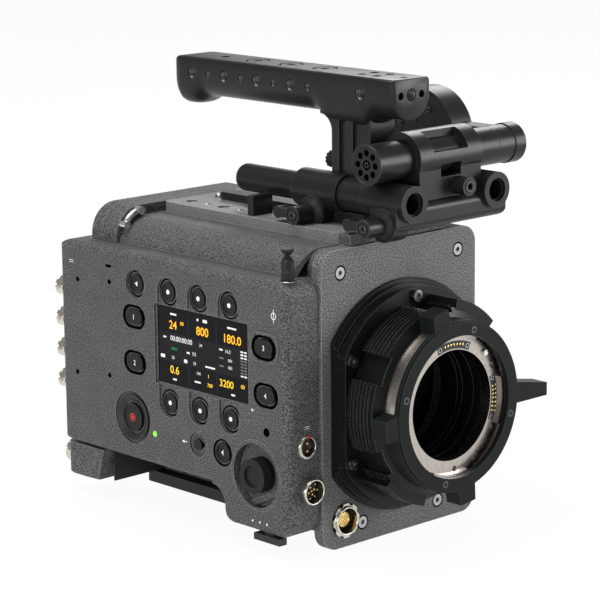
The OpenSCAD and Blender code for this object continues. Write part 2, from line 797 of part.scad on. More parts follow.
module menu_dial() color("#1b1c1e") placed() difference() {
    union() {
        rod_x(dial_d / 2, -panel_side - dial_out, -panel_side + dial_well - seam_gap, dial_y, dial_z);
        rod_x(dial_shaft_r, -panel_side, -panel_side + dial_well + dial_floor + board_thick, dial_y, dial_z);
    }
    rod_x(dial_dish_r, -panel_side - dial_out - over, -panel_side - dial_out + dial_dish, dial_y, dial_z);
    for (i = [0:dial_teeth - 1]) translate([0, dial_y, dial_z]) rotate([i * 360 / dial_teeth, 0, 0])
        rod_x(dial_tooth_r, -panel_side - dial_out + dial_dish, -panel_side + over,
            dial_d / 2, 0, small_fn / 2);
}

// Input selector that slides under the lobe
module input_selector() color("#161719") placed() {
    translate([selector_x - selector_half, selector_y, -lobe_drop - selector_h])
        cube([2 * selector_half, selector_w, selector_h - seam_gap]);
    translate([selector_x - selector_stem / 2, selector_y + selector_w / 3, -lobe_drop - selector_h])
        cube([selector_stem, selector_w / 3, selector_h + wall / 2]);
}

// Stud for a measuring tape, over the sensor plane
hook_base_r = 3;
hook_base_h = 1.5;
hook_waist_r = 1.7;
hook_h = 15.5;
hook_head_r = 3.2;
hook_head_h = 3;
hook_stem_l = 5;

module tape_hook() color("#b9bbbe") placed() translate([hook_x, hook_y, panel_top])
    rotate_extrude($fn = round_fn) polygon([
        [0, -hook_stem_l], [hook_thread_r, -hook_stem_l], [hook_thread_r, 0], [hook_base_r, 0],
        [hook_base_r, hook_base_h], [hook_waist_r, 2 * hook_base_h],
        [hook_waist_r, hook_h - hook_head_h], [hook_head_r, hook_h - hook_head_h / 3],
        [hook_head_r, hook_h], [0, hook_h]]);

// Bright bar for the strap, on the front face of the rear casting
strap_r = 1.8;
strap_foot_r = 2.1;
strap_ring = rear_round - strap_foot_r;
strap_turn_from = 97;
strap_turn_to = 150;
strap_stand = 2.3;

module strap_bar() color("#d6d8da") placed()
    translate([-rear_left + rear_round, split_depth - strap_stand, rear_top - rear_round]) {
        rotate([90, 0, 0]) rotate([0, 0, strap_turn_from])
            rotate_extrude(angle = strap_turn_to - strap_turn_from, $fn = round_fn)
                translate([strap_ring, 0]) circle(r = strap_r, $fn = small_fn);
        for (a = [strap_turn_from, strap_turn_to])
            rod_y(strap_foot_r, -strap_foot_r, strap_stand, strap_ring * cos(a), strap_ring * sin(a), small_fn);
    }

// Lens mount: foot, ribbed barrel, flange with the seat, lock ring
foot_thick = 10;
foot_step_1 = 1.3;
foot_step_2 = 3.1;
foot_edge_1 = 2.5;
foot_edge_2 = 5.5;
foot_flat = 47;
// The screws stay inside the foot and inside its flat side
mount_pitch_d = min(foot_d - 2 * screw_inset, 2 * (foot_flat - screw_head_r - seam_gap) / cos(30));
throat_r = 28.5;
barrel_front = 26.5;
nose_front = 28.5;
nose_r = 41.5;
rib_count = 6;
rib_pitch = 2.3;
rib_w = 0.9;
rib_deep = 0.9;
rib_first = 12.2;
barrel_flat_in = 7.2;
barrel_flat = mount_pitch_d / 2 - barrel_flat_in;
block_out = 4.2;
block_half_turn = 17;
block_turns = [60, 240];
flange_r = ring_d / 2 - 0.7;
rim_r = 36.6;
rim_tab_r = 33.4;
rim_tab_half_turn = 20;
rim_tab_turn = -5;
rim_front = seat_out + 1.9;
ring_back = nose_front + 0.4;
ring_face = rim_front + 0.3;
ring_front = ring_face + 2.9;
ring_hole_r = 34.6;
skirt_r = ring_d / 2 + 0.8;
skirt_turn_from = 111;
skirt_turn_to = 178;
lug_r = 49;
lug_half = 6.2;
lug_turns = [105, 184, 278];
lever_r = 63;
lever_root_high = 6;
lever_root_low = -5.5;
lever_tip_high = 1;
ring_screw_pitch_r = 37.4;
ring_screw_turn = 75;
ring_screw_r = 1.3;
ring_screw_l = 2.4;
pin_r = 1.5;
pin_turn = 45;
pin_h = 1.4;
pin_place_r = 31.5;
seat_hole_r = 1.4;
seat_hole_turns = [29, -30, -87];

module mount_screw_places() {
    for (a = [30:60:330]) translate([mount_pitch_d / 2 * cos(a), 0, mount_pitch_d / 2 * sin(a)]) children();
}

// Piece of a ring between two turns about the lens axis, seen from the front
module wedge(r, from, to) {
    polygon(concat([[0, 0]], [for (i = [0:4]) 2 * r * [cos(from + i * (to - from) / 4), sin(from + i * (to - from) / 4)]]));
}

module mount_foot() color("#9a9ca0") placed() difference() {
    turned_y() polygon([[throat_r, 0], [foot_d / 2, 0], [foot_d / 2, foot_edge_1],
        [foot_d / 2 - foot_step_1, foot_edge_1], [foot_d / 2 - foot_step_1, foot_edge_2],
        [foot_d / 2 - foot_step_2, foot_edge_2], [foot_d / 2 - foot_step_2, foot_thick],
        [throat_r, foot_thick]]);
    box([-foot_d, -2 * foot_thick, -foot_d], [-foot_flat, over, foot_d]);
    mount_screw_places() rod_y(screw_shank_r + screw_hole_gap, -foot_thick - over, over, fn = small_fn);
    rod_y(finder_r + seam_gap, -foot_thick - over, over, finder_side, finder_low);
}

module barrel_flats() {
    for (a = [30:60:330]) rotate([0, -a, 0])
        box([barrel_flat, -barrel_front - over, -screw_head_r - 2 * key_gap - 2 * screw_shank_r],
            [foot_d, -foot_thick + over, screw_head_r + 2 * key_gap + 2 * screw_shank_r]);
}

module mount_barrel() color("#6f7174") placed() difference() {
    union() {
        turned_y() polygon([[throat_r, foot_thick], [barrel_d / 2, foot_thick],
            [barrel_d / 2, barrel_front], [nose_r, nose_front], [throat_r, nose_front]]);
        for (i = [0:rib_count - 1])
            rod_y(barrel_d / 2 + rib_deep, -rib_first - i * rib_pitch - rib_w, -rib_first - i * rib_pitch);
        for (a = block_turns) intersection() {
            rod_y(barrel_d / 2 + block_out, -barrel_front - over / 2, -foot_thick);
            along_y(-nose_front, -foot_thick) wedge(foot_d, a - block_half_turn, a + block_half_turn);
        }
    }
    rod_y(throat_r, -nose_front - over, over);
    barrel_flats();
}

module lens_flange() color("#c9cbce") placed() difference() {
    union() {
        turned_y() polygon([[bore_d / 2, nose_front], [flange_r, nose_front], [flange_r, rim_front],
            [rim_r, rim_front], [rim_r, seat_out], [bore_d / 2, seat_out]]);
        for (a = [0:90:270]) intersection() {
            along_y(-rim_front, -nose_front)
                wedge(foot_d, a + rim_tab_turn - rim_tab_half_turn, a + rim_tab_turn + rim_tab_half_turn);
            turned_y() translate([rim_tab_r, nose_front]) square([flange_r - rim_tab_r, rim_front - nose_front]);
        }
    }
    rotate([0, -pin_turn, 0]) rod_y(pin_r, -seat_out - over, -seat_out + 2 * pin_h, pin_place_r, 0, small_fn);
    for (a = seat_hole_turns) rotate([0, -a, 0])
        rod_y(seat_hole_r, -seat_out - over, -seat_out + pin_h, pin_place_r, 0, small_fn);
    for (i = [0:1]) rotate([0, -contact_turns[i], 0])
        along_y(-seat_out - over, -seat_out + contact_deep) contact_outline(contact_half_turns[i], run_gap);
}

module locating_pin() color("#e2e4e6") placed()
    rotate([0, -pin_turn, 0]) rod_y(pin_r, -seat_out - pin_h, -seat_out + 2 * pin_h, pin_place_r, 0, small_fn);

module lug(out, high, low, tip_high, tip_low) {
    root = ring_hole_r + rib_deep;
    along_y(-ring_front + rib_deep / 2, -ring_back - rib_deep / 2)
        polygon([[root, low], [out, tip_low], [out, tip_high], [root, high]]);
}

module lock_ring() color("#a6a8ab") placed() difference() {
    union() {
        rod_y(ring_d / 2, -ring_front, -ring_face);
        difference() {
            rod_y(skirt_r, -ring_front + over, -ring_back);
            along_y(-ring_face, 0) difference() {
                wedge(foot_d, skirt_turn_from, skirt_turn_to);
                circle(r = flange_r / 2, $fn = small_fn);
            }
        }
        for (a = lug_turns) rotate([0, -a, 0]) lug(lug_r, lug_half, -lug_half, lug_half * 0.8, -lug_half * 0.8);
        lug(lever_r, lever_root_high, lever_root_low, lever_tip_high, lever_root_low);
    }
    rod_y(flange_r + run_gap, -ring_face, over);
    rod_y(ring_hole_r, -ring_front - over, over);
    for (a = [0:90:270]) rotate([0, -a - ring_screw_turn, 0])
        rod_y(ring_screw_r, -ring_front - over, -ring_front + ring_screw_l, ring_screw_pitch_r, 0, small_fn);
}

module ring_screws() color("#d0d2d4") placed()
    for (a = [0:90:270]) rotate([0, -a - ring_screw_turn, 0]) difference() {
        rod_y(ring_screw_r - run_gap, -ring_front + run_gap, -ring_front + ring_screw_l, ring_screw_pitch_r, 0, small_fn);
        rod_y(ring_screw_r / 2, -ring_front - over, -ring_front + ring_screw_r, ring_screw_pitch_r, 0, 6);
    }

// Electrical contacts in the mount, carried by the flange
contact_turns = [88, -2];
contact_half_turns = [22, 22];
contact_in_r = 27.6;
contact_out_r = 31.4;
contact_deep = 2;

module contact_outline(half, gap = 0) intersection() {
    difference() {
        circle(r = contact_out_r + gap, $fn = round_fn);
        circle(r = contact_in_r - gap, $fn = round_fn);
    }
    wedge(contact_out_r, -half - gap, half + gap);
}

module contact_blocks() color("#17181a") placed() for (i = [0:1]) rotate([0, -contact_turns[i], 0])
    along_y(-seat_out, -seat_out + contact_deep - run_gap) contact_outline(contact_half_turns[i]);

module cap_screw(l) difference() {
    union() {
        rod_y(screw_head_r, -screw_head_h, 0, fn = small_fn);
        rod_y(screw_shank_r, -over / 2, l, fn = small_fn);
    }
    rod_y(screw_socket_r, -screw_head_h - over, -screw_head_h / 3, fn = 6);
}

module cap_screws() color("#c4c6c9") placed() {
    mount_screw_places() translate([0, -foot_thick, 0]) cap_screw(foot_thick + face_thick + bulkhead);
    plate_screw_places() translate([0, screw_head_h, 0]) cap_screw(face_thick + wall - screw_head_h);
}

// Inside the body: filter wheel, sensor, heat sink and fan
flange_focal = 52;
sensor_y = flange_focal - seat_out;
wheel_z = 26;
wheel_r = 45.5;
wheel_hole_r = 17.6;
wheel_thick = 2.4;
wheel_y = face_thick + bulkhead + 1.4;
wheel_pin_r = 4;
wheel_teeth_deep = 1.2;
wheel_teeth = 60;
sensor_w = 46;
sensor_h = 34;
sensor_thick = 2.5;
die_w = 36;
die_h = 24;
die_proud = 0.6;
carrier_half = 44;
carrier_low = -38;
carrier_high = 66;
carrier_thick = 3;
carrier_y = sensor_y + sensor_thick;
post_r = 3;
post_side = 40;
post_low = -34;
post_high = 61;
sink_half_w = 34;
sink_low = -26;
sink_high = 44;
sink_base = 4;
fin_deep = 18;
fin_pitch = 4.5;
fin_w = 1.2;
fin_count = 14;
fan_r = 25;
fan_hub_r = 9;
fan_deep = 9;
fan_blades = 9;
fan_blade_w = 1.4;
fan_blade_turn = 28;
fan_pin_r = 2;
fan_z = (sink_low + sink_high) / 2;

module filter_wheel() color("#8f9498") placed() difference() {
    rod_y(wheel_r, wheel_y, wheel_y + wheel_thick, 0, wheel_z);
    rod_y(wheel_pin_r + run_gap, wheel_y - over, wheel_y + wheel_thick + over, 0, wheel_z);
    for (a = [0:90:270])
        rod_y(wheel_hole_r, wheel_y - over, wheel_y + wheel_thick + over, wheel_z * sin(a), wheel_z - wheel_z * cos(a));
    for (i = [0:wheel_teeth - 1]) translate([0, 0, wheel_z]) rotate([0, i * 360 / wheel_teeth, 0])
        rod_y(wheel_teeth_deep, wheel_y - over, wheel_y + wheel_thick + over, wheel_r, 0, small_fn / 2);
}

module image_sensor() color("#22313f") placed() {
    along_y(sensor_y, carrier_y) square([sensor_w, sensor_h], center = true);
    along_y(sensor_y - die_proud, sensor_y) square([die_w, die_h], center = true);
}

module sensor_carrier() color("#8c8f93") placed() {
    along_y(carrier_y, carrier_y + carrier_thick)
        rounded([-carrier_half, carrier_low], [carrier_half, carrier_high], frame_round - wall);
    for (x = [-post_side, post_side], z = [post_low, post_high])
        rod_y(post_r, face_thick + bulkhead, carrier_y, x, z, small_fn);
    rod_y(wheel_pin_r, wheel_y - over / 2, carrier_y, 0, wheel_z);
}

fan_back = carrier_y + carrier_thick + sink_base + fin_deep;

module heat_sink() color("#a9acb0") placed() difference() {
    union() {
        along_y(carrier_y + carrier_thick, carrier_y + carrier_thick + sink_base)
            rounded([-sink_half_w, sink_low], [sink_half_w, sink_high], base_round);
        for (i = [0:fin_count - 1])
            box([(i - (fin_count - 1) / 2) * fin_pitch - fin_w / 2, carrier_y + carrier_thick, sink_low + base_round],
                [(i - (fin_count - 1) / 2) * fin_pitch + fin_w / 2, fan_back, sink_high - base_round]);
    }
    rod_y(fan_r + seam_gap, fan_back - fan_deep, fan_back + over, 0, fan_z);
    rod_y(fan_pin_r + run_gap, carrier_y + carrier_thick + sink_base, fan_back + over, 0, fan_z, small_fn);
}

module fan_rotor() color("#26272a") placed() {
    rod_y(fan_hub_r, fan_back - fan_deep + seam_gap, fan_back, 0, fan_z);
    for (i = [0:fan_blades - 1]) translate([0, 0, fan_z]) rotate([0, i * 360 / fan_blades, 0])
        translate([(fan_hub_r - over + fan_r - seam_gap) / 2, fan_back - fan_deep / 2, 0])
        rotate([fan_blade_turn, 0, 0])
        cube([fan_r - fan_hub_r + over - seam_gap, fan_deep - fan_blade_w * 2, fan_blade_w], center = true);
    rod_y(fan_pin_r, fan_back - fan_deep - sink_base, fan_back, 0, fan_z, small_fn);
}

// Connectors: shells and their inserts
shell_wall = 1.2;
shell_back = 5;
coax_bayonet_r = 1;
finder_out = 2.4;
side_pin_out = 1;
lens_pin_out = 5;
remote_out = 5;
insert_depth = 3;
pin_wire_r = 0.5;
finder_pins = 12;
side_pins = 2;
lens_pins = 8;
remote_pins = 8;
coax_pins = 1;

module shell_y(r, front, back, x, z) difference() {
    rod_y(r, front, back, x, z);
    rod_y(r - shell_wall, front - over, back + over, x, z);
}

module coax_connectors() color("#c9c6bd") placed()
    for (i = [0:coax_count - 1]) {
        shell_y(coax_r, panel_rear - wall, panel_rear + coax_out, coax_x, coax_z - i * coax_pitch);
        rod_x(coax_bayonet_r, coax_x - coax_r - coax_bayonet_r, coax_x - coax_r + shell_wall / 2,
            panel_rear + coax_out / 2, coax_z - i * coax_pitch, small_fn);
        rod_x(coax_bayonet_r, coax_x + coax_r - shell_wall / 2, coax_x + coax_r + coax_bayonet_r,
            panel_rear + coax_out / 2, coax_z - i * coax_pitch, small_fn);
    }

module round_connectors() color("#b9bbbe") placed() {
    shell_y(finder_r, -finder_out, face_thick + bulkhead, finder_side, finder_low);
    shell_y(side_pin_r, panel_front - side_pin_out, panel_front + shell_back, side_pin_x, side_pin_z);
    shell_y(lens_pin_r, panel_front - lens_pin_out, panel_front + shell_back, lens_pin_x, lens_pin_z);
    shell_y(remote_r, panel_rear - wall, panel_rear + remote_out, -remote_side, remote_z);
}

module insert_y(r, face, back, x, z, pins, out) {
    rod_y(r - shell_wall, face, back, x, z);
    for (i = [0:pins - 1])
        rod_y(pin_wire_r, out < 0 ? face + out : face, out < 0 ? face : back + out,
            x + r / 2.4 * cos(i * 360 / pins), z + r / 2.4 * sin(i * 360 / pins), small_fn / 2);
}

module connector_inserts() color("#1a1b1d") placed() {
    insert_y(finder_r, -finder_out + insert_depth, face_thick + bulkhead,
        finder_side, finder_low, finder_pins, -insert_depth / 2);
    insert_y(side_pin_r, panel_front + side_pin_out, panel_front + shell_back,
        side_pin_x, side_pin_z, side_pins, -insert_depth / 2);
    insert_y(lens_pin_r, panel_front, panel_front + shell_back,
        lens_pin_x, lens_pin_z, lens_pins, -insert_depth / 2);
    insert_y(remote_r, panel_rear - wall, panel_rear + remote_out - insert_depth,
        -remote_side, remote_z, remote_pins, insert_depth / 2);
    for (i = [0:coax_count - 1])
        insert_y(coax_r, panel_rear - wall, panel_rear + coax_out - 1.5 * insert_depth,
            coax_x, coax_z - i * coax_pitch, coax_pins, insert_depth);
}

// Handle with its riser, threads on every side
handle_rear = handle_length - handle_ahead;
handle_mid = 146.1;
handle_edge = 2;
handle_lip_l = 28.5;
handle_lip_from = handle_rear - handle_lip_l;
handle_lip_drop = 4.4;
handle_lip_round = 4;
handle_first = 14.6;
handle_side_back = 87.5;
handle_side_from = handle_rear - handle_side_back;
handle_side_count = 4;
handle_top_count = 3;
handle_hole_r = stud_thread_d / 2;
handle_small_r = 1.9;
handle_hole_deep = 8;
handle_front_side = 7;
riser_half = 10;
cross_y = -2;
holder_wall = 3.5;
riser_from = cross_y + cross_d / 2 + holder_wall + 2 * seam_gap;
riser_split = 22;
riser_to = 36.5;
riser_low = 104;
riser_step = 1.5;
riser_groove_w = 4;
riser_groove_deep = 1.6;
riser_fillet = 8;
knob_z = 110;
knob_r = 4.2;
knob_from = riser_to + seam_gap;
knob_to = 47;
knob_shaft_r = 2.4;
knob_shaft_l = 12;
knob_neck_r = 3;

module handle_section() {
    intersection() {
        translate([0, handle_mid]) circle(r = handle_width / 2, $fn = round_fn);
        translate([-handle_width, handle_mid - handle_width]) square([2 * handle_width, handle_width + handle_edge]);
    }
    translate([-handle_width / 2, handle_mid]) square([handle_width, handle_top - handle_mid - handle_edge]);
    rounded([-handle_width / 2, handle_mid], [handle_width / 2, handle_top], handle_edge);
}

module handle() color("#2c2d2f") placed() difference() {
    union() {
        along_y(-handle_ahead, handle_rear) handle_section();
        intersection() {
            along_x(-handle_width / 2 + handle_edge, handle_width / 2 - handle_edge)
                rounded([handle_lip_from, handle_mid - handle_width / 2 - handle_lip_drop],
                    [handle_rear, handle_mid], handle_lip_round);
            along_y(handle_lip_from, handle_rear)
                rounded([-handle_width / 2 + handle_edge, handle_mid - handle_width / 2 - handle_lip_drop],
                    [handle_width / 2 - handle_edge, handle_mid], handle_lip_round);
        }
        box([-riser_half, riser_split, riser_low], [riser_half, riser_to, handle_mid]);
        box([-riser_half + riser_step, riser_from, riser_low], [riser_half - riser_step, riser_split, handle_mid]);
        along_x(-riser_half, riser_half) translate([riser_to, handle_mid - handle_width / 2]) difference() {
            translate([-over, -riser_fillet]) square([riser_fillet + over, riser_fillet + wall]);
            translate([riser_fillet, -riser_fillet]) circle(r = riser_fillet, $fn = small_fn);
        }
    }
    box([-riser_half - over, (riser_split + riser_to - riser_groove_w) / 2, riser_low - over],
        [-riser_half + riser_groove_deep, (riser_split + riser_to + riser_groove_w) / 2,
            handle_mid - handle_width / 2]);
    for (i = [0:handle_side_count - 1]) {
        rod_x(handle_hole_r, -handle_width, handle_width, handle_side_from + i * handle_pitch, handle_mid);
        rod_x(handle_small_r, -handle_width, handle_width,
            handle_side_from + (i - 1 / 2) * handle_pitch, handle_mid, small_fn);
    }
    rod_x(handle_hole_r, -handle_width, handle_width, handle_first, handle_mid);
    for (i = [0:handle_top_count - 1])
        rod_z(handle_hole_r, handle_top - handle_hole_deep / 2, handle_top + over,
            0, handle_side_from + (i + 1 / 2) * handle_pitch);
    rod_y(handle_hole_r, -handle_ahead - over, -handle_ahead + handle_hole_deep, 0, handle_mid);
    for (s = [-1, 1])
        rod_y(handle_small_r, -handle_ahead - over, -handle_ahead + handle_hole_deep, s * handle_front_side, handle_mid, small_fn);
    rod_y(knob_shaft_r + run_gap, riser_to - knob_shaft_l - seam_gap, riser_to + over, 0, knob_z);
    rod_y(sleeve_r + seam_gap, sleeve_from - seam_gap, riser_to + over, rod_x0, rod_z0);
    rod_y(tube_r + tube_gap, riser_from - over, sleeve_from, rod_x0, rod_z0);
}

module handle_knob() color("#1c1d1f") placed() {
    rod_y(knob_shaft_r, riser_to - knob_shaft_l, knob_from + over, 0, knob_z);
    rod_y(knob_neck_r, knob_from, knob_from + knob_neck_r, 0, knob_z);
    difference() {
        rod_y(knob_r, knob_from + knob_neck_r / 2, knob_to, 0, knob_z);
        for (i = [0:11]) translate([0, 0, knob_z]) rotate([0, i * 30, 0])
            rod_y(knob_neck_r / 6, knob_from, knob_to + over, knob_r, 0, small_fn / 2);
    }
}

// Handle base with the clamp for the fore and aft rod
rod_x0 = -10.7;
rod_z0 = 96.5;
sleeve_r = 9.6;
sleeve_from = 24.3;
sleeve_to = 55;
base_left = -13;
base_right = 14;
base_from = riser_from;
base_to = 38;
lever_y = 39.5;
lever_z = 86.9;
clamp_boss_r = 8.2;
clamp_boss_left = -21;
clamp_boss_right = -8;
tube_r = 8.15;
tube_gap = 0.8;

module handle_base() color("#2a2b2d") placed() difference() {
    union() {
        box([base_left, base_from, rear_top], [base_right, base_to, riser_low]);
        box([base_left, base_from, rear_top], [base_right, sleeve_to, rear_top + wall]);
        rod_y(sleeve_r, sleeve_from, sleeve_to, rod_x0, rod_z0);
        intersection() {
            rod_x(clamp_boss_r, clamp_boss_left, clamp_boss_right, lever_y, lever_z);
            box([clamp_boss_left, 0, rear_top], [base_right, sleeve_to, rod_z0]);
        }
    }
    rod_y(rod_d / 2 + run_gap, base_from - over, sleeve_to + over, rod_x0, rod_z0);
    rod_y(tube_r + tube_gap, base_from - over, sleeve_from, rod_x0, rod_z0);
    rod_x(clamp_shaft_r + run_gap, clamp_boss_left - over, clamp_boss_right + over, lever_y, lever_z);
}

// Small levers that tighten the clamps
clamp_shaft_r = 2.5;
clamp_hub_r = 4.6;
clamp_left = -33.5;
clamp_arm = 13;
clamp_arm_r = 3;
clamp_arm_h = 4.4;
clamp_neck = 2;

module clamp_lever(y, z, right) {
    rod_x(clamp_hub_r, clamp_left, clamp_boss_left - seam_gap - clamp_neck, y, z);
    rod_x(clamp_hub_r - clamp_neck / 2, clamp_left, clamp_boss_left - seam_gap, y, z);
    rod_x(clamp_shaft_r, clamp_left, right, y, z);
    along_x(clamp_left + clamp_neck, clamp_boss_left - seam_gap - 2 * clamp_neck) translate([y, z]) {
        translate([0, -clamp_arm_h / 2]) square([clamp_arm, clamp_arm_h]);
        translate([clamp_arm, 0]) circle(r = clamp_arm_r, $fn = small_fn);
    }
}

module clamp_lever_rear() color("#202123") placed() clamp_lever(lever_y, lever_z, clamp_boss_right - seam_gap);

// Rail on the top plate behind the handle base
rail_left = -8;
rail_right = 1;
rail_back = 18;
rail_to = split_depth - rail_back;
rail_thick = 4;
rail_foot = 2;
rail_groove = 1;
stop_left = -29.5;
stop_w = 13;
stop_from = 72;
stop_high = 10;

module accessory_rail() color("#303134") placed() difference() {
    union() {
        box([rail_left, sleeve_to + seam_gap, rear_top], [rail_right, rail_to, rear_top + rail_thick]);
        box([stop_left, stop_from, rear_top], [stop_left + stop_w, stop_from + rail_thick, rear_top + stop_high]);
    }
    for (s = [0, 1])
        box([s == 0 ? rail_left - over : rail_right - rail_groove, sleeve_to, rear_top + rail_foot / 2],
            [s == 0 ? rail_left + rail_groove : rail_right + over, rail_to + over, rear_top + rail_foot]);
}

// Viewfinder bracket: sliding casting with two rod sockets and a clamp for the cross tube
cross_z = 114.9;
cross_left = -24.6;
socket_front = -20;
boss_r = 8.8;
boss_rear = 8;
mouth_r = 5.85;
mouth_deep = 2;
socket_deep = 24;
bar_left = -21;
bar_right = 55;
bar_low = 83;
bar_high = 92;
bar_from = -18;
bar_to = -1;
bar_round = 4;
holder_left = -1;
holder_right = 41.5;
holder_from = -14;
holder_to = 9;
holder_window_left = 13.4;
holder_window_w = 14;
holder_window_low = 106;
holder_window_h = 6.5;
top_cut_left = 8;
top_cut_w = 24;
front_lever_y = -8.7;
front_lever_z = 86.4;
screw_x = 25;
screw_z = 101;
screw_head_face = -22;
clamp_screw_r = 4.5;
clamp_screw_shaft_r = 2.5;
clamp_screw_l = 14;

module slide_bracket() color("#252628") placed() difference() {
    union() {
        rod_y(tube_r, boss_rear, sleeve_from - seam_gap, rod_x0, rod_z0);
        for (i = [0, 1]) rod_y(boss_r, socket_front, boss_rear, rod_x0 + i * socket_pitch, rod_z0);
        intersection() {
            along_y(bar_from, bar_to) rounded([bar_left, bar_low], [bar_right, bar_high + bar_round], bar_round);
            along_x(bar_left, bar_right) rounded([bar_from, bar_low], [bar_to, bar_high + bar_round], bar_round);
        }
        intersection() {
            along_x(holder_left, holder_right) union() {
                translate([cross_y, cross_z]) circle(r = cross_d / 2 + holder_wall, $fn = round_fn);
                translate([holder_from, rod_z0]) square([holder_to - holder_from, cross_z - rod_z0]);
                rounded([holder_from, bar_low], [holder_to, cross_z], bar_round);
            }
            along_y(holder_from - over, 3 * holder_to)
                rounded([holder_left, bar_low], [holder_right, cross_z + cross_d], bar_round);
        }
        rod_x(clamp_boss_r, clamp_boss_left, rod_x0, front_lever_y, front_lever_z);
    }
    rod_x(cross_d / 2 + run_gap, holder_left - over, holder_right + over, cross_y, cross_z);
    for (i = [0, 1]) {
        rod_y(socket_bore_d / 2, socket_front - over, socket_front + socket_deep, rod_x0 + i * socket_pitch, rod_z0);
        rod_y(mouth_r, socket_front - over, socket_front + mouth_deep, rod_x0 + i * socket_pitch, rod_z0);
    }
    box([holder_window_left, holder_from - over, holder_window_low],
        [holder_window_left + holder_window_w, cross_y, holder_window_low + holder_window_h]);
    box([top_cut_left, holder_from - holder_to, cross_z + holder_wall],
        [top_cut_left + top_cut_w, holder_from + holder_to, cross_z + cross_d]);
    rod_x(clamp_shaft_r + run_gap, clamp_boss_left - over, -rod_d, front_lever_y, front_lever_z);
    rod_y(clamp_screw_shaft_r + run_gap, holder_from - over, holder_from + clamp_screw_l, screw_x, screw_z);
}

module clamp_lever_front() color("#202123") placed() clamp_lever(front_lever_y, front_lever_z, -rod_d - seam_gap);

module clamp_screw() color("#1e1f21") placed() {
    rod_y(clamp_screw_r, screw_head_face, holder_from - seam_gap, screw_x, screw_z);
    rod_y(clamp_screw_shaft_r, screw_head_face, holder_from + clamp_screw_l - seam_gap, screw_x, screw_z);
}

rod_rear = 100;
rod_nose_r = 4;

module slide_rod() color("#1b1c1e") placed() translate([rod_x0, 0, rod_z0]) rotate([-90, 0, 0])
    rotate_extrude($fn = round_fn) intersection() {
        rounded([-rod_d / 2, sleeve_from - seam_gap - rod_d], [rod_d / 2, rod_rear], rod_nose_r);
        translate([0, sleeve_from - seam_gap]) square([rod_d, rod_rear]);
    }

// Cross tube with its end holes, and the swinging arm on its right end
cross_hole_pitch_r = 5.6;
cross_hole_r = 1.2;
cross_mid_r = 2.6;
cross_hole_deep = 4;
cross_hole_count = 8;
arm_width = 11;
arm_height = cross_d - 1.4;
arm_left = cross_left + cross_length - arm_width;
arm_disc_r = 25;
arm_disc_y = 44;
arm_disc_left = 58;
arm_disc_right = 72;
arm_face_r = 19.3;
arm_face_deep = 1;
journal_r = 6;
cap_r = 10;
cap_w = 7;

module cross_tube() color("#1f2022") placed() difference() {
    union() {
        rod_x(cross_d / 2, cross_left, arm_left - seam_gap, cross_y, cross_z);
        rod_x(journal_r, arm_left - over, arm_left + arm_width + seam_gap + over, cross_y, cross_z);
        rod_x(cap_r, arm_left + arm_width + seam_gap, arm_left + arm_width + seam_gap + cap_w, cross_y, cross_z);
    }
    rod_x(cross_mid_r, cross_left - over, cross_left + cross_hole_deep, cross_y, cross_z);
    for (i = [0:cross_hole_count - 1]) translate([0, cross_y, cross_z]) rotate([i * 360 / cross_hole_count, 0, 0])
        rod_x(cross_hole_r, cross_left - over, cross_left + cross_hole_deep, 0, cross_hole_pitch_r, small_fn);
}

module swing_arm() color("#232426") placed() difference() {
    union() {
        rod_x(cross_d / 2, arm_left, arm_left + arm_width, cross_y, cross_z);
        along_x(arm_left, arm_left + arm_width) {
            translate([cross_y, cross_z - arm_height / 2]) square([arm_disc_y - cross_y, arm_height]);
        }
        rod_x(arm_disc_r, arm_disc_left, arm_disc_right, arm_disc_y, cross_z);
    }
    rod_x(journal_r + run_gap, arm_left - over, arm_left + arm_width + over, cross_y, cross_z);
    rod_x(arm_face_r, arm_disc_left - over, arm_disc_left + arm_face_deep, arm_disc_y, cross_z);
}

front_plate();
main_frame();
rear_frame();
bottom_plate();
shoulder_cover();
top_plate();
operator_cover();
remote_block();
battery_plate();
battery_latch();
media_door();
control_panel();
display_window();
display_module();
circuit_boards();
key_top_1();
key_top_2();
key_top_3();
key_low_1();
key_low_2();
key_low_3();
key_assign();
key_rear_1();
key_rear_2();
key_front_1();
key_front_2();
key_back();
record_key();
lock_slider();
menu_dial();
input_selector();
tape_hook();
strap_bar();
mount_foot();
mount_barrel();
lens_flange();
lock_ring();
contact_blocks();
locating_pin();
cap_screws();
ring_screws();
filter_wheel();
image_sensor();
sensor_carrier();
heat_sink();
fan_rotor();
coax_connectors();
round_connectors();
connector_inserts();
handle();
handle_base();
handle_knob();
accessory_rail();
slide_bracket();
slide_rod();
cross_tube();
swing_arm();
clamp_lever_rear();
clamp_lever_front();
clamp_screw();
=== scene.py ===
"""Looks of the digital cinema camera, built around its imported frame."""

import math

import bmesh
import bpy
from mathutils import Matrix, Quaternion, Vector


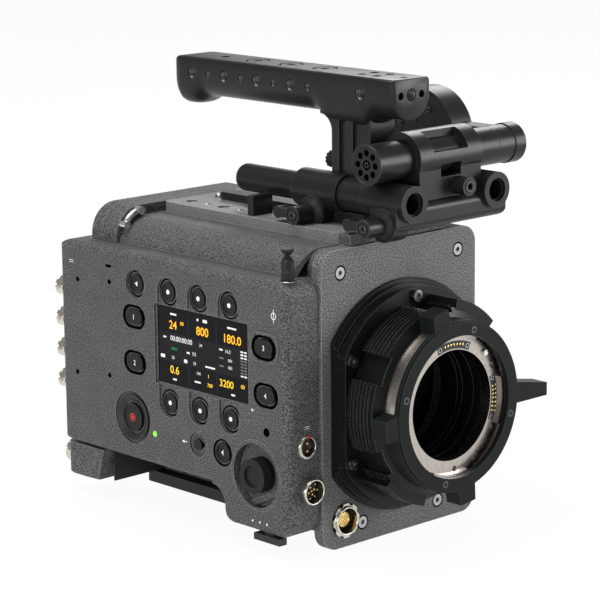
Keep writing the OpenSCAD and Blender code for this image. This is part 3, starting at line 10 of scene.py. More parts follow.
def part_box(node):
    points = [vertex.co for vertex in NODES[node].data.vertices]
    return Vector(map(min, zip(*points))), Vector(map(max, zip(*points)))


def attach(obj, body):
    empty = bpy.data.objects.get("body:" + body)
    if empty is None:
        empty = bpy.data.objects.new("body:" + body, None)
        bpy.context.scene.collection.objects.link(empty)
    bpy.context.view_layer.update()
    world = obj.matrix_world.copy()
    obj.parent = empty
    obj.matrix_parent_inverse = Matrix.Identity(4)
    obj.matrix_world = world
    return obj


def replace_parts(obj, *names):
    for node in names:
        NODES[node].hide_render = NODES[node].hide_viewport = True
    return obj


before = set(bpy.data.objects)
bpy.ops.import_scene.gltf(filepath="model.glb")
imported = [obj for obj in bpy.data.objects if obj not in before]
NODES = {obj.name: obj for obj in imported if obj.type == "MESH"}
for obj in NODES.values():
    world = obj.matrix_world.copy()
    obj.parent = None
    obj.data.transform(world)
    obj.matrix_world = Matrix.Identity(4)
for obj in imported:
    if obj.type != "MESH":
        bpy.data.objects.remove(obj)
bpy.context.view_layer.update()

MM = 0.001

# Corners nearer than MERGE become one, and so do those round the middle of a disc
MERGE = 0.002 * MM
ON_AXIS = 0.001

# Places read from the frame
seat_low, seat_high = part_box("lens_flange")
ring_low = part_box("lock_ring")[0]
plate_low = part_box("front_plate")[0]
panel_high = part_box("control_panel")[1]
window_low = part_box("display_window")[0]
base_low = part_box("bottom_plate")[0]

# Camera of the photograph
YAW = math.radians(43.314)
PITCH = math.radians(12.213)
ROLL = math.radians(-0.575)
EYE = Vector((-0.8498, -0.8909, 0.3731))
FOCAL_PX = 2523.1
FRAME_PX = 600
SENSOR_MM = 36


def add_object(name, data):
    obj = bpy.data.objects.new(name, data)
    bpy.context.scene.collection.objects.link(obj)
    return obj


def add_camera():
    data = bpy.data.cameras.new("camera")
    data.sensor_width = SENSOR_MM
    data.lens = FOCAL_PX / FRAME_PX * SENSOR_MM
    data.clip_start, data.clip_end = 0.05, 50
    cam = add_object("camera", data)
    look = Vector((math.sin(YAW) * math.cos(PITCH), math.cos(YAW) * math.cos(PITCH), -math.sin(PITCH)))
    cam.rotation_mode = "QUATERNION"
    cam.rotation_quaternion = look.to_track_quat("-Z", "Y") @ Quaternion((0, 0, 1), ROLL)
    cam.location = EYE
    bpy.context.scene.camera = cam


# Floor: half its side, its true colour, and how white the camera sees it
FLOOR_HALF = 6.0
FLOOR_COLOUR = (0.86, 0.86, 0.86, 1)
FLOOR_SHOWN = 0.95
WHITE = (1, 1, 1, 1)


def add_node(tree, kind, values=None):
    """New shader node with values for some of its inputs."""
    node = tree.nodes.new(kind)
    for socket, value in (values or {}).items():
        node.inputs[socket].default_value = value
    return node


def either_ray(tree, first, second):
    """1 for rays of either kind, 0 for all others."""
    path = add_node(tree, "ShaderNodeLightPath")
    seen = add_node(tree, "ShaderNodeMath")
    seen.operation = "MAXIMUM"
    tree.links.new(path.outputs[first], seen.inputs[0])
    tree.links.new(path.outputs[second], seen.inputs[1])
    return seen.outputs[0]


def mix_to(out, tree, share, hidden, shown):
    """Sends a mix of two shaders to the output."""
    mix = add_node(tree, "ShaderNodeMixShader")
    for source, socket in zip((share, hidden.outputs[0], shown.outputs[0]), mix.inputs):
        tree.links.new(source, socket)
    tree.links.new(mix.outputs[0], out.inputs[0])


def stage_material():
    """Pale floor that shows almost white to the camera and keeps the shadow."""
    mat = bpy.data.materials.new("floor")
    mat.use_nodes = True
    tree = mat.node_tree
    tree.nodes.clear()
    out = add_node(tree, "ShaderNodeOutputMaterial")
    diffuse = add_node(tree, "ShaderNodeBsdfDiffuse", {"Color": FLOOR_COLOUR})
    white = add_node(tree, "ShaderNodeEmission", {"Color": WHITE, "Strength": 1.0})
    seen = either_ray(tree, "Is Camera Ray", "Is Glossy Ray")
    share = add_node(tree, "ShaderNodeMath", {1: FLOOR_SHOWN})
    share.operation = "MULTIPLY"
    tree.links.new(seen, share.inputs[0])
    mix_to(out, tree, share.outputs[0], diffuse, white)
    return mat


def add_floor():
    mesh = bpy.data.meshes.new("floor")
    corners = [(-FLOOR_HALF, -FLOOR_HALF, 0), (FLOOR_HALF, -FLOOR_HALF, 0),
               (FLOOR_HALF, FLOOR_HALF, 0), (-FLOOR_HALF, FLOOR_HALF, 0)]
    mesh.from_pydata(corners, [], [(0, 1, 2, 3)])
    mesh.materials.append(stage_material())
    floor = add_object("floor", mesh)
    floor.location.z = base_low.z


WORLD_LIGHT = 0.34


def add_world():
    """White world to the camera, and a dimmer light on the object."""
    world = bpy.data.worlds.new("world")
    bpy.context.scene.world = world
    world.use_nodes = True
    tree = world.node_tree
    tree.nodes.clear()
    out = add_node(tree, "ShaderNodeOutputWorld")
    light = add_node(tree, "ShaderNodeBackground", {"Color": WHITE, "Strength": WORLD_LIGHT})
    shown = add_node(tree, "ShaderNodeBackground", {"Color": WHITE, "Strength": 1.0})
    seen = either_ray(tree, "Is Camera Ray", "Is Transmission Ray")
    mix_to(out, tree, seen, light, shown)


# Each lamp: name, place, size, power
LAMPS = [
    ("key_lamp", (-0.3, 0.2, 1.7), 1.0, 24),
    ("front_lamp", (1.25, -1.3, 0.45), 0.8, 22),
    ("side_lamp", (-1.7, -0.3, 0.25), 0.8, 15),
    ("rim_lamp", (1.3, 0.9, 1.1), 0.8, 12),
]
LAMP_AIM = Vector((0, 0, 0.09))


def add_lamps():
    for name, place, size, power in LAMPS:
        data = bpy.data.lights.new(name, "AREA")
        data.shape = "SQUARE"
        data.size = size
        data.energy = power
        lamp = add_object(name, data)
        lamp.location = place
        lamp.rotation_mode = "QUATERNION"
        lamp.rotation_quaternion = (LAMP_AIM - lamp.location).to_track_quat("-Z", "Y")


# Materials: reach of worn edges on paint and metal, and the cosine of the lean where wear starts and is full
PAINT_EDGE = 0.5 * MM
METAL_EDGE = 0.35 * MM
LEAN_START, LEAN_FULL = 0.995, 0.85


def node_tree(name):
    mat = bpy.data.materials.new(name)
    mat.use_nodes = True
    return mat, mat.node_tree, mat.node_tree.nodes["Principled BSDF"]


def object_noise(tree, scale, detail=2.0, rough=0.5):
    """Noise in the object's own millimetres: scale is features for each millimetre."""
    coords = add_node(tree, "ShaderNodeTexCoord")
    noise = add_node(tree, "ShaderNodeTexNoise", {"Scale": scale / MM, "Detail": detail, "Roughness": rough})
    tree.links.new(coords.outputs["Object"], noise.inputs["Vector"])
    return noise.outputs["Fac"]


def ramp(tree, source, low, high, at_low, at_high):
    """Colour that runs from low to high as a noise runs from at_low to at_high."""
    node = add_node(tree, "ShaderNodeValToRGB")
    node.color_ramp.elements[0].position = at_low
    node.color_ramp.elements[0].color = (*low, 1)
    node.color_ramp.elements[1].position = at_high
    node.color_ramp.elements[1].color = (*high, 1)
    tree.links.new(source, node.inputs["Fac"])
    return node.outputs[0]


def edge_mask(tree, radius):
    """1 near edges, 0 on flats, by how far a bevelled normal leans from the true one."""
    bevel = add_node(tree, "ShaderNodeBevel", {"Radius": radius})
    bevel.samples = 4
    geo = add_node(tree, "ShaderNodeNewGeometry")
    dot = add_node(tree, "ShaderNodeVectorMath")
    dot.operation = "DOT_PRODUCT"
    tree.links.new(bevel.outputs[0], dot.inputs[0])
    tree.links.new(geo.outputs["Normal"], dot.inputs[1])
    lean = add_node(tree, "ShaderNodeMapRange", {"From Min": LEAN_START, "From Max": LEAN_FULL})
    tree.links.new(dot.outputs["Value"], lean.inputs["Value"])
    return lean.outputs[0]


def mix_colour(tree, fac, low, high, blend="MIX"):
    """Mix of two colours, where each input is a value or another node's output."""
    mix = add_node(tree, "ShaderNodeMix")
    mix.data_type = "RGBA"
    mix.blend_type = blend
    for socket, value in ((mix.inputs[0], fac), (mix.inputs[6], low), (mix.inputs[7], high)):
        if hasattr(value, "is_output"):
            tree.links.new(value, socket)
        else:
            socket.default_value = value
    return mix.outputs[2]


def grey(value, tint=0.0):
    return (value - tint, value, value + tint)


def add_bump(tree, bsdf, source, strength, distance):
    """Lets a noise raise the surface by up to distance millimetres."""
    height = add_node(tree, "ShaderNodeBump", {"Strength": strength, "Distance": distance * MM})
    tree.links.new(source, height.inputs["Height"])
    tree.links.new(height.outputs[0], bsdf.inputs["Normal"])


def paint(name, dark, light, rough=0.62, grain=1.35, bump=0.5, wear=0.05, spec=0.3):
    """Textured paint: fine grain in colour and height, a softer blotch, paler worn edges."""
    mat, tree, bsdf = node_tree(name)
    fine = object_noise(tree, grain, 2.0, 0.6)
    broad = object_noise(tree, grain / 22, 2.0)
    speck = ramp(tree, fine, dark, light, 0.40, 0.60)
    cloud = ramp(tree, broad, (0.93,) * 3, (1.06,) * 3, 0.3, 0.7)
    tint = mix_colour(tree, 1.0, speck, cloud, "MULTIPLY")
    worn = tuple(min(1.0, c * 1.5 + wear) for c in light)
    base = mix_colour(tree, edge_mask(tree, PAINT_EDGE), tint, (*worn, 1))
    tree.links.new(base, bsdf.inputs["Base Color"])
    bsdf.inputs["Specular IOR Level"].default_value = spec
    spread = ramp(tree, fine, grey(rough - 0.1), grey(rough + 0.12), 0.3, 0.7)
    tree.links.new(spread, bsdf.inputs["Roughness"])
    add_bump(tree, bsdf, fine, bump, 0.12)
    return mat


def metal(name, colour, rough, streak=(1, 1, 1), wear=0.0, grain=1.2, bump=0.03, metallic=1.0, spec=0.5):
    """Metal with streaks of machining or brushing. streak squeezes the noise along each axis."""
    mat, tree, bsdf = node_tree(name)
    coords = add_node(tree, "ShaderNodeTexCoord")
    squeeze = add_node(tree, "ShaderNodeMapping", {"Scale": streak})
    tree.links.new(coords.outputs["Object"], squeeze.inputs["Vector"])
    noise = add_node(tree, "ShaderNodeTexNoise", {"Scale": grain / MM, "Detail": 3})
    tree.links.new(squeeze.outputs[0], noise.inputs["Vector"])
    fine = noise.outputs["Fac"]
    low = tuple(c * 0.92 for c in colour)
    high = tuple(min(1.0, c * 1.05) for c in colour)
    colour_out = ramp(tree, fine, low, high, 0.3, 0.7)
    if wear:
        worn = tuple(min(1.0, c + wear) for c in colour)
        colour_out = mix_colour(tree, edge_mask(tree, METAL_EDGE), colour_out, (*worn, 1))
    tree.links.new(colour_out, bsdf.inputs["Base Color"])
    bsdf.inputs["Metallic"].default_value = metallic
    bsdf.inputs["Specular IOR Level"].default_value = spec
    spread = ramp(tree, fine, grey(max(0.05, rough - 0.03)), grey(rough + 0.05), 0.3, 0.7)
    tree.links.new(spread, bsdf.inputs["Roughness"])
    add_bump(tree, bsdf, fine, bump, 0.05)
    return mat


def glass(name, colour, rough=0.06):
    """Dark coated glass with faint smears."""
    mat, tree, bsdf = node_tree(name)
    smear = object_noise(tree, 0.08, 3.0)
    shade = ramp(tree, smear, grey(rough * 0.6), grey(rough * 1.8), 0.35, 0.7)
    tree.links.new(shade, bsdf.inputs["Roughness"])
    bsdf.inputs["Base Color"].default_value = (*colour, 1)
    bsdf.inputs["Specular IOR Level"].default_value = 0.08
    bsdf.inputs["Coat Weight"].default_value = 0.03
    return mat


def glow(name, colour, strength):
    """Lit mark on a display."""
    mat, tree, bsdf = node_tree(name)
    grain = object_noise(tree, 2.0, 2.0)
    shade = ramp(tree, grain, tuple(c * 0.9 for c in colour), colour, 0.3, 0.6)
    tree.links.new(shade, bsdf.inputs["Base Color"])
    tree.links.new(shade, bsdf.inputs["Emission Color"])
    bsdf.inputs["Emission Strength"].default_value = strength
    bsdf.inputs["Roughness"].default_value = 0.4
    bsdf.inputs["Specular IOR Level"].default_value = 0.08
    return mat


MAT = {
    "body": paint("body_paint", grey(0.018), grey(0.142)),
    "panel": paint("panel_paint", grey(0.015), grey(0.136), grain=1.5),
    "plate": paint("plate_paint", grey(0.03), grey(0.215), grain=1.5),
    "cover": paint("cover_paint", grey(0.022), grey(0.140), grain=1.5),
    "top": paint("top_paint", grey(0.08), grey(0.26), rough=0.5, grain=2.0, bump=0.25),
    "black": metal("black_anodised", grey(0.012, 0.0003), 0.33, wear=0.08, metallic=0.0, spec=0.22),
    "mount": metal("mount_anodised", grey(0.006, 0.0005), 0.28, wear=0.08, metallic=0.0, spec=0.2),
    "ring": metal("ring_anodised", (0.007, 0.0095, 0.009), 0.38, wear=0.06, metallic=0.0, spec=0.1),
    "plastic": paint("black_plastic", grey(0.012), grey(0.024), rough=0.45, grain=2.5, bump=0.1, wear=0.02),
    "key": paint("key_plastic", grey(0.006), grey(0.014), rough=0.42, grain=3.0, bump=0.06, wear=0.02,
                 spec=0.2),
    "red": paint("red_plastic", (0.30, 0.02, 0.012), (0.42, 0.035, 0.02), rough=0.4, grain=2.5, bump=0.08),
    "steel": metal("flange_steel", (0.46, 0.42, 0.385), 0.24, streak=(1, 5, 1), grain=0.5, bump=0.0),
    "bright": metal("bright_steel", (0.80, 0.80, 0.80), 0.14, grain=0.5),
    "screw": metal("screw_steel", (0.42, 0.42, 0.43), 0.2, grain=0.5, bump=0.0),
    "rim": metal("screw_rim", (0.16, 0.17, 0.17), 0.3, grain=0.5, bump=0.0),
    "dark_rim": metal("screw_dark", grey(0.06), 0.35, grain=0.5, bump=0.0, metallic=0.6, spec=0.2),
    "nickel": metal("connector_nickel", (0.66, 0.63, 0.56), 0.2, streak=(1, 4, 1), grain=0.5, bump=0.0),
    "gold": metal("contact_gold", (0.83, 0.60, 0.25), 0.25),
    "glass": glass("display_glass", (0.004, 0.004, 0.005)),
    "board": paint("board_green", (0.01, 0.09, 0.03), (0.02, 0.14, 0.05), rough=0.4, grain=0.4, bump=0.1),
    "sensor": glass("sensor_glass", (0.02, 0.035, 0.045)),
    "alloy": metal("plain_alloy", (0.52, 0.52, 0.54), 0.38, streak=(1, 1, 6)),
    "white": paint("white_mark", grey(0.75), grey(0.85), rough=0.5, grain=3.0, bump=0.03, wear=0.0),
    "red_mark": paint("red_mark", (0.35, 0.015, 0.015), (0.45, 0.03, 0.03), rough=0.5, grain=3.0, bump=0.03,
                      wear=0.0),
    "thread": metal("thread_metal", grey(0.06), 0.35, wear=0.25, metallic=0.9),
    # Near-black for painted shade: thin sheets set in holes, wells, slots and round keys and screws, where
    # only shade falls
    "painted_shade": metal("painted_shade_black", grey(0.001), 0.7, metallic=0.0, spec=0.0),
    "throat": metal("throat_black", grey(0.006), 0.3, wear=0.02, metallic=0.0, spec=0.25),
}

# Lit marks of the displays: colour and strength
SCREEN = {"screen_band": ((0.012, 0.012, 0.014), 0.12), "screen_line": ((0.02, 0.025, 0.05), 0.5),
          "screen_amber": ((0.95, 0.42, 0.02), 0.85), "screen_gold": ((0.80, 0.50, 0.03), 0.75),
          "screen_white": ((0.60, 0.60, 0.60), 0.6), "screen_dim": ((0.12, 0.12, 0.12), 0.5),
          "screen_green": ((0.01, 0.12, 0.04), 0.6), "lamp_green": ((0.20, 0.75, 0.05), 0.8)}
for screen_name, (screen_colour, screen_strength) in SCREEN.items():
    MAT[screen_name] = glow(screen_name, screen_colour, screen_strength)

# Nodes of each finish; all others are of key plastic
FINISHES = {
    "plate": ("front_plate",),
    "body": ("main_frame", "rear_frame", "operator_cover", "remote_block", "media_door"),
    "black": ("bottom_plate", "tape_hook", "ring_screws", "filter_wheel", "sensor_carrier", "handle",
              "handle_base", "handle_knob", "accessory_rail", "slide_bracket", "slide_rod", "cross_tube",
              "swing_arm", "clamp_lever_rear", "clamp_lever_front", "clamp_screw"),
    "cover": ("shoulder_cover",),
    "top": ("top_plate",),
    "plastic": ("battery_plate", "display_module", "contact_blocks", "fan_rotor", "connector_inserts",
                "input_selector"),
    "red": ("battery_latch",),
    "panel": ("control_panel",),
    "glass": ("display_window",),
    "board": ("circuit_boards",),
    "bright": ("strap_bar", "locating_pin"),
    "mount": ("mount_foot", "mount_barrel"),
    "steel": ("lens_flange",),
    "ring": ("lock_ring",),
    "screw": ("cap_screws",),
    "sensor": ("image_sensor",),
    "alloy": ("heat_sink",),
    "nickel": ("coax_connectors", "round_connectors"),
}
FINISH = {node: finish for finish, nodes in FINISHES.items() for node in nodes}

# Width of each node's soft edges in millimetres
BEVELS = {"control_panel": 0.35, "front_plate": 0.6, "handle": 0.6, "slide_bracket": 0.6, "lock_ring": 0.5,
          "mount_foot": 0.3, "rear_frame": 0.5, "main_frame": 0.5, "top_plate": 0.4, "swing_arm": 0.8,
          "handle_base": 0.8, "remote_block": 0.5, "operator_cover": 1.2, "bottom_plate": 0.6,
          "battery_plate": 0.5, "menu_dial": 0.25}
BEVEL_PLAIN = 0.22
SHARP_ANGLE = math.radians(35)


def add_bevel(obj, width):
    """Soft edges, their width in millimetres."""
    bevel = obj.modifiers.new("edges", "BEVEL")
    bevel.width = width * MM
    bevel.segments = 2
    bevel.limit_method = "ANGLE"
    bevel.angle_limit = SHARP_ANGLE
    return bevel


def dress_nodes():
    for name, obj in NODES.items():
        obj.data.materials.clear()
        obj.data.materials.append(MAT[FINISH.get(name, "key")])
        for face in obj.data.polygons:
            face.use_smooth = True
            face.material_index = 0
        add_bevel(obj, BEVELS.get(name, BEVEL_PLAIN)).harden_normals = True


# Millimetre places, with the lens axis and the front face as zero
ORIGIN = Vector((0, plate_low.y / MM, (seat_low.z + seat_high.z) / 2 / MM))

# Each face of the object: which way it looks, and which way its u axis runs
FACES = {"left": ((-1, 0, 0), (0, -1, 0)), "right": ((1, 0, 0), (0, 1, 0)),
         "front": ((0, -1, 0), (1, 0, 0)), "back": ((0, 1, 0), (-1, 0, 0)),
         "top": ((0, 0, 1), (1, 0, 0)), "under": ((0, 0, -1), (1, 0, 0))}


def face_matrix(side, place):
    """Matrix from a face's own millimetres (right, up, out) to the object's metres."""
    out, right = (Vector(axis) for axis in FACES[side])
    up = out.cross(right)
    rot = Matrix((right, up, out)).transposed()
    return Matrix.Translation((Vector(place) + ORIGIN) * MM) @ rot.to_4x4() @ Matrix.Scale(MM, 4)


class Shape:
    """Gathers solids drawn on faces of the object, then becomes one piece."""

    def __init__(self):
        self.mesh = bmesh.new()

    def add(self, verts, faces, matrix):
        made = [self.mesh.verts.new(matrix @ Vector(v)) for v in verts]
        for face in faces:
            self.mesh.faces.new([made[i] for i in face])

    def lathe(self, profile, side, place, segs=48, closed=True):
        """Revolves (radius, height) points about the face's outward axis."""
        verts, faces = [], []
        count = len(profile)
        for r, h in profile:
            for k in range(segs):
                a = 2 * math.pi * k / segs
                verts.append((r * math.cos(a), r * math.sin(a), h))
        for j in range(count if closed else count - 1):
            for k in range(segs):
                a, b = j * segs + k, j * segs + (k + 1) % segs
                c, d = ((j + 1) % count) * segs + (k + 1) % segs, ((j + 1) % count) * segs + k
                faces.append((a, b, c, d))
        self.add(verts, faces, face_matrix(side, place))
        return self

    def disc(self, r, low, high, side, place, segs=32, edge=0.0):
        """Round button from low to high with a softened rim."""
        edge = edge or min(r, high - low) * 0.2
        rim = [(ON_AXIS, low), (r, low), (r, high - edge), (r - edge * 0.3, high - edge * 0.3),
               (r - edge, high), (ON_AXIS, high)]
        return self.lathe(rim, side, place, segs, closed=False)

    def ring(self, inner, outer, low, high, side, place, segs=48, edge=0.1):
        rim = [(inner, low), (outer, low), (outer, high - edge), (outer - edge, high),
               (inner + edge, high), (inner, high - edge)]
        return self.lathe(rim, side, place, segs)

    def prism(self, outline, low, high, side, place):
        count = len(outline)
        verts = [(u, v, low) for u, v in outline] + [(u, v, high) for u, v in outline]
        faces = [tuple(range(count - 1, -1, -1)), tuple(range(count, 2 * count))]
        faces += [(i, (i + 1) % count, (i + 1) % count + count, i + count) for i in range(count)]
        self.add(verts, faces, face_matrix(side, place))
        return self

    def band(self, outer, inner, low, high, side, place):
        """Flat frame between two outlines of the same number of points."""
        count = len(outer)
        verts = [(u, v, h) for h in (low, high) for outline in (outer, inner) for u, v in outline]
        faces = []
        for i in range(count):
            j = (i + 1) % count
            for a, b in ((0, 2), (2, 3), (3, 1), (1, 0)):
                faces.append((a * count + i, a * count + j, b * count + j, b * count + i))
        self.add(verts, faces, face_matrix(side, place))
        return self

    def block(self, u, v, w, h, low, high, side, place, round_r=0.0):
        """Block of width w and height h centred at u, v with rounded corners."""
        return self.prism(oblong(u, v, w, h, round_r), low, high, side, place)

    def to_data(self, name):
        """Mesh of all solids, with doubled corners merged and faces turned outwards."""
        bmesh.ops.remove_doubles(self.mesh, verts=self.mesh.verts, dist=MERGE)
        bmesh.ops.recalc_face_normals(self.mesh, faces=self.mesh.faces)
        data = bpy.data.meshes.new(name)
        self.mesh.to_mesh(data)
        self.mesh.free()
        return data

    def piece(self, name, material, bevel=0.0, smooth=True, body="camera_body", slot=None):
        return finish_piece(name, self.to_data(name), material, bevel, smooth, body)


def finish_piece(name, data, material, bevel=0.0, smooth=True, body="camera_body"):
    """Makes a mesh one piece, which rides on a body and wears its material."""
    data.materials.append(MAT[material])
    obj = add_object(name, data)
    if smooth:
        for face in data.polygons:
            face.use_smooth = True
        data.set_sharp_from_angle(angle=SHARP_ANGLE)
    if bevel:
        add_bevel(obj, bevel)
    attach(obj, body)
    return obj


def oblong(u, v, w, h, r):
    """Outline of an oblong about u, v: plain corners, or corners of radius r in steps of 15 degrees."""
    if r <= 0:
        return [(u - w / 2, v - h / 2), (u + w / 2, v - h / 2),
                (u + w / 2, v + h / 2), (u - w / 2, v + h / 2)]
    points = []
    for cu, cv, start in ((1, -1, -90), (1, 1, 0), (-1, 1, 90), (-1, -1, 180)):
        for k in range(7):
            a = math.radians(start + 15 * k)
            points.append((u + cu * (w / 2 - r) + r * math.cos(a), v + cv * (h / 2 - r) + r * math.sin(a)))
    return points


def polar(r, degrees):
    a = math.radians(degrees)
    return r * math.cos(a), r * math.sin(a)


# Figures: share of the font's size that a digit is high, half thickness, widening by height, and lift
DIGIT_SHARE = 0.72
INK_THICK = 0.01
INK_SPREAD = 0.006
INK_LIFT = 0.03


def figures(name, rows, side, place, material, body="camera_body"):
    """Plain numbers drawn on a face: each row gives the text, its middle and its height."""
    joined = bmesh.new()
    for text, u, v, high in rows:
        curve = bpy.data.curves.new(name, "FONT")
        curve.body = text
        curve.size = high / DIGIT_SHARE
        curve.align_x = "CENTER"
        curve.extrude = INK_THICK
        curve.offset = high * INK_SPREAD
        temp = bpy.data.objects.new(name, curve)
        mesh = bpy.data.meshes.new_from_object(temp)
        mesh.transform(face_matrix(side, place) @ Matrix.Translation((u, v - high / 2, INK_LIFT)))
        joined.from_mesh(mesh)
        bpy.data.objects.remove(temp)
        bpy.data.curves.remove(curve)
        bpy.data.meshes.remove(mesh)
    data = bpy.data.meshes.new(name)
    joined.to_mesh(data)
    joined.free()
    return finish_piece(name, data, material, smooth=False, body=body)


# Bottom and top of flat marks over their face: prints, marks on keys, marks on the display
PRINT = (-0.02, 0.03)
KEY_PRINT = (-0.02, 0.05)
SHOWN = (0.01, 0.03)

# Display: middle of its glass, size, and the level meter near its right edge in shares of the size
DISPLAY = (window_low.x / MM, 62.2, 21.8)
DISPLAY_W, DISPLAY_H = 66.5, 39.0
METER_S = (0.925, 0.962)
METER_T, METER_STEP = 0.365, 0.038
METER_LIT, METER_DIM = (0, 1, 2, 8), range(3, 8)

# Texts: text, shares across and down, height. Bars: shares across and down, width, height
AMBER = [("24", 0.175, 0.225, 4.2), ("00", 0.275, 0.185, 1.9), ("800", 0.50, 0.225, 4.3),
         ("180.0", 0.82, 0.235, 4.3)]
GOLD = [("0.6", 0.185, 0.80, 4.0), ("3200", 0.755, 0.81, 3.7), ("00", 0.93, 0.80, 1.9),
        ("1", 0.56, 0.775, 1.9), ("709", 0.575, 0.89, 1.9)]
PALE = [("00:00:00:00", 0.265, 0.395, 2.5), ("3:2", 0.405, 0.535, 1.7), ("1/4", 0.45, 0.77, 1.7),
        ("16.2", 0.775, 0.40, 1.7), ("001", 0.80, 0.51, 1.5), ("001", 0.80, 0.60, 1.5),
        ("23", 0.17, 0.645, 1.5), ("23", 0.41, 0.655, 1.5), ("24", 0.48, 0.405, 1.5)]
PALE_BARS = [(0.18, 0.09, 4.6, 0.9), (0.82, 0.10, 6.4, 0.9), (0.53, 0.09, 3.2, 1.5),
             (0.45, 0.09, 1.2, 1.3), (0.055, 0.65, 3.2, 1.7), (0.31, 0.655, 2.4, 1.7),
             (0.08, 0.40, 2.2, 0.8), (0.185, 0.925, 2.8, 0.9), (0.825, 0.935, 2.8, 0.9),
             (0.58, 0.66, 7.0, 0.8), (0.44, 0.885, 4.5, 0.8), (0.34, 0.54, 2.2, 0.9),
             (0.70, 0.395, 2.6, 0.8)]


def on_display(s, t):
    """Place on the display from its shares across and down."""
    return (s - 0.5) * DISPLAY_W, (0.5 - t) * DISPLAY_H


def bar(shape, s, t, w, h, round_r=0.0):
    shape.block(*on_display(s, t), w, h, *SHOWN, "left", DISPLAY, round_r)


def meter_bars(shape, rows):
    for i in rows:
        for s in METER_S:
            bar(shape, s, METER_T + METER_STEP * i, 1.9, 0.75)


def make_display_ground():
    """Dark band across the display and the lines that part its columns."""
    band = Shape()
    u0, v0 = on_display(0.015, 0.705)
    u1, v1 = on_display(0.985, 0.335)
    band.block((u0 + u1) / 2, (v0 + v1) / 2, u1 - u0, v1 - v0, 0.005, 0.012, "left", DISPLAY, 0.3)
    band.piece("display_bands", "screen_band", smooth=False)
    lines = Shape()
    for s in (0.343, 0.652):
        for t0, t1 in ((0.03, 0.325), (0.715, 0.97)):
            u, v0 = on_display(s, t1)
            v1 = on_display(s, t0)[1]
            lines.block(u, (v0 + v1) / 2, 0.28, v1 - v0, 0.005, 0.02, "left", DISPLAY)
    lines.piece("display_lines", "screen_line", smooth=False)


def make_display_figures():
    for name, rows, material in (("display_amber", AMBER, "screen_amber"),
                                 ("display_gold", GOLD, "screen_gold"),
                                 ("display_pale", PALE, "screen_white")):
        placed = [(text, *on_display(s, t), h) for text, s, t, h in rows]
        figures(name, placed, "left", DISPLAY, material)


def make_display_marks():
    """Bars that stand for small words, the level meter and the green status bar."""
    marks = Shape()
    for s, t, w, h in PALE_BARS:
        bar(marks, s, t, w, h, min(w, h) * 0.25)
    meter_bars(marks, METER_LIT)
    marks.piece("display_marks", "screen_white", smooth=False)
    dim = Shape()
    meter_bars(dim, METER_DIM)
    for t in (0.50, 0.60):
        bar(dim, 0.705, t, 3.0, 0.8)
    dim.piece("display_dim_marks", "screen_dim", smooth=False)
    green = Shape()
    bar(green, 0.185, 0.53, 4.4, 1.2, 0.3)
    green.piece("display_ready", "screen_green", smooth=False)


# Control panel: its face, then places on it as distance behind the front face and height over the axis
PANEL_X = -74.0
ROUND_KEYS = {"key_%s_%d" % (row, i + 1): (86.4 - 22.2 * i, z)
              for row, z in (("top", 48.5), ("low", -7.1)) for i in range(3)}
ASSIGN_KEY, BACK_KEY, RECORD_KEY = (110.4, 49.2), (47.3, -24.6), (114.5, -19.4)
HOME_KEY = (16.1, 32.4)
SMALL_HOLES = [(130.5, 47.4), (132.0, -0.8), (155.8, 45.2), (158.0, -3.4)]
PANEL_SCREW = (PANEL_X, 15.9, -8.6)

# How far a plain, the home and the record key stand off the panel, how far a round key lies below it,
# and how deep their faces are dished
KEY_PROUD, HOME_PROUD, RECORD_PROUD = 0.3, 1.2, 0.6
KEY_SUNK = 0.3
DISH = 0.5
DISH_X = PANEL_X + KEY_SUNK + DISH

# Each oblong key: its number, its place, how far it stands off the panel
OBLONG_KEYS = {"key_rear_1": ("1", (111.8, 32.4), KEY_PROUD), "key_rear_2": ("2", (111.8, 9.2), KEY_PROUD),
               "key_front_1": ("3", HOME_KEY, HOME_PROUD), "key_front_2": ("4", (16.1, 9.2), KEY_PROUD)}


def make_key_marks():
    for name, place in ROUND_KEYS.items():
        dot = Shape().disc(1.15, *KEY_PRINT, "left", (DISH_X, *place), 24)
        dot.piece(name + "_dot", "white", body=name)
    arrow = Shape().prism([(0.9, -1.3), (0.9, 1.3), (-1.1, 0)], *KEY_PRINT, "left", (DISH_X, *ASSIGN_KEY))
    arrow.piece("key_assign_mark", "white", smooth=False, body="key_assign")
    for name, (text, place, proud) in OBLONG_KEYS.items():
        figures(name + "_number", [(text, 0, 0, 2.6)], "left", (PANEL_X - proud, *place), "white", name)
    back = Shape().prism([(0.6, 1.5), (-1.2, 0), (0.6, -1.5), (0.1, 0)], -0.02, 0.04, "left",
                         (PANEL_X - KEY_PROUD + DISH, *BACK_KEY))
    back.piece("key_back_mark", "white", smooth=False, body="key_back")
    record = (PANEL_X - RECORD_PROUD + DISH, *RECORD_KEY)
    red = Shape().ring(1.5, 2.1, *KEY_PRINT, "left", record, 32, 0.02)
    red.disc(0.9, *KEY_PRINT, "left", record, 24)
    red.piece("record_key_mark", "red_mark", body="record_key")


def make_key_gap_shade():
    """Painted shade: dark sheets in the gap round each key, in the panel's small holes, its screw's hole and
    the slot at its top.
    """
    gap_shade = Shape()
    for place, deep in [(key, -1.35) for key in (*ROUND_KEYS.values(), ASSIGN_KEY)] + [(BACK_KEY, 0.02)]:
        gap_shade.ring(5.95, 6.75, deep - 0.2, deep, "left", (PANEL_X, *place), 48, 0.02)
    for _, place, proud in OBLONG_KEYS.values():
        gap_shade.band(oblong(0, 0, 17.0, 12.0, 5.9), oblong(0, 0, 13.9, 9.5, 4.7), -0.1, 0.03, "left",
                  (PANEL_X - (proud - KEY_PROUD), *place))
    for place in SMALL_HOLES:
        gap_shade.disc(1.3, -0.2, 0.03, "left", (PANEL_X, *place), 24, 0.02)
    gap_shade.disc(2.2, -0.3, 0.02, "left", PANEL_SCREW, 32, 0.02)
    gap_shade.block(0, 0, 4.4, 1.3, -0.2, 0.03, "left", (PANEL_X, 131, 55.4), 0.6)
    gap_shade.piece("key_gap_shade", "painted_shade")


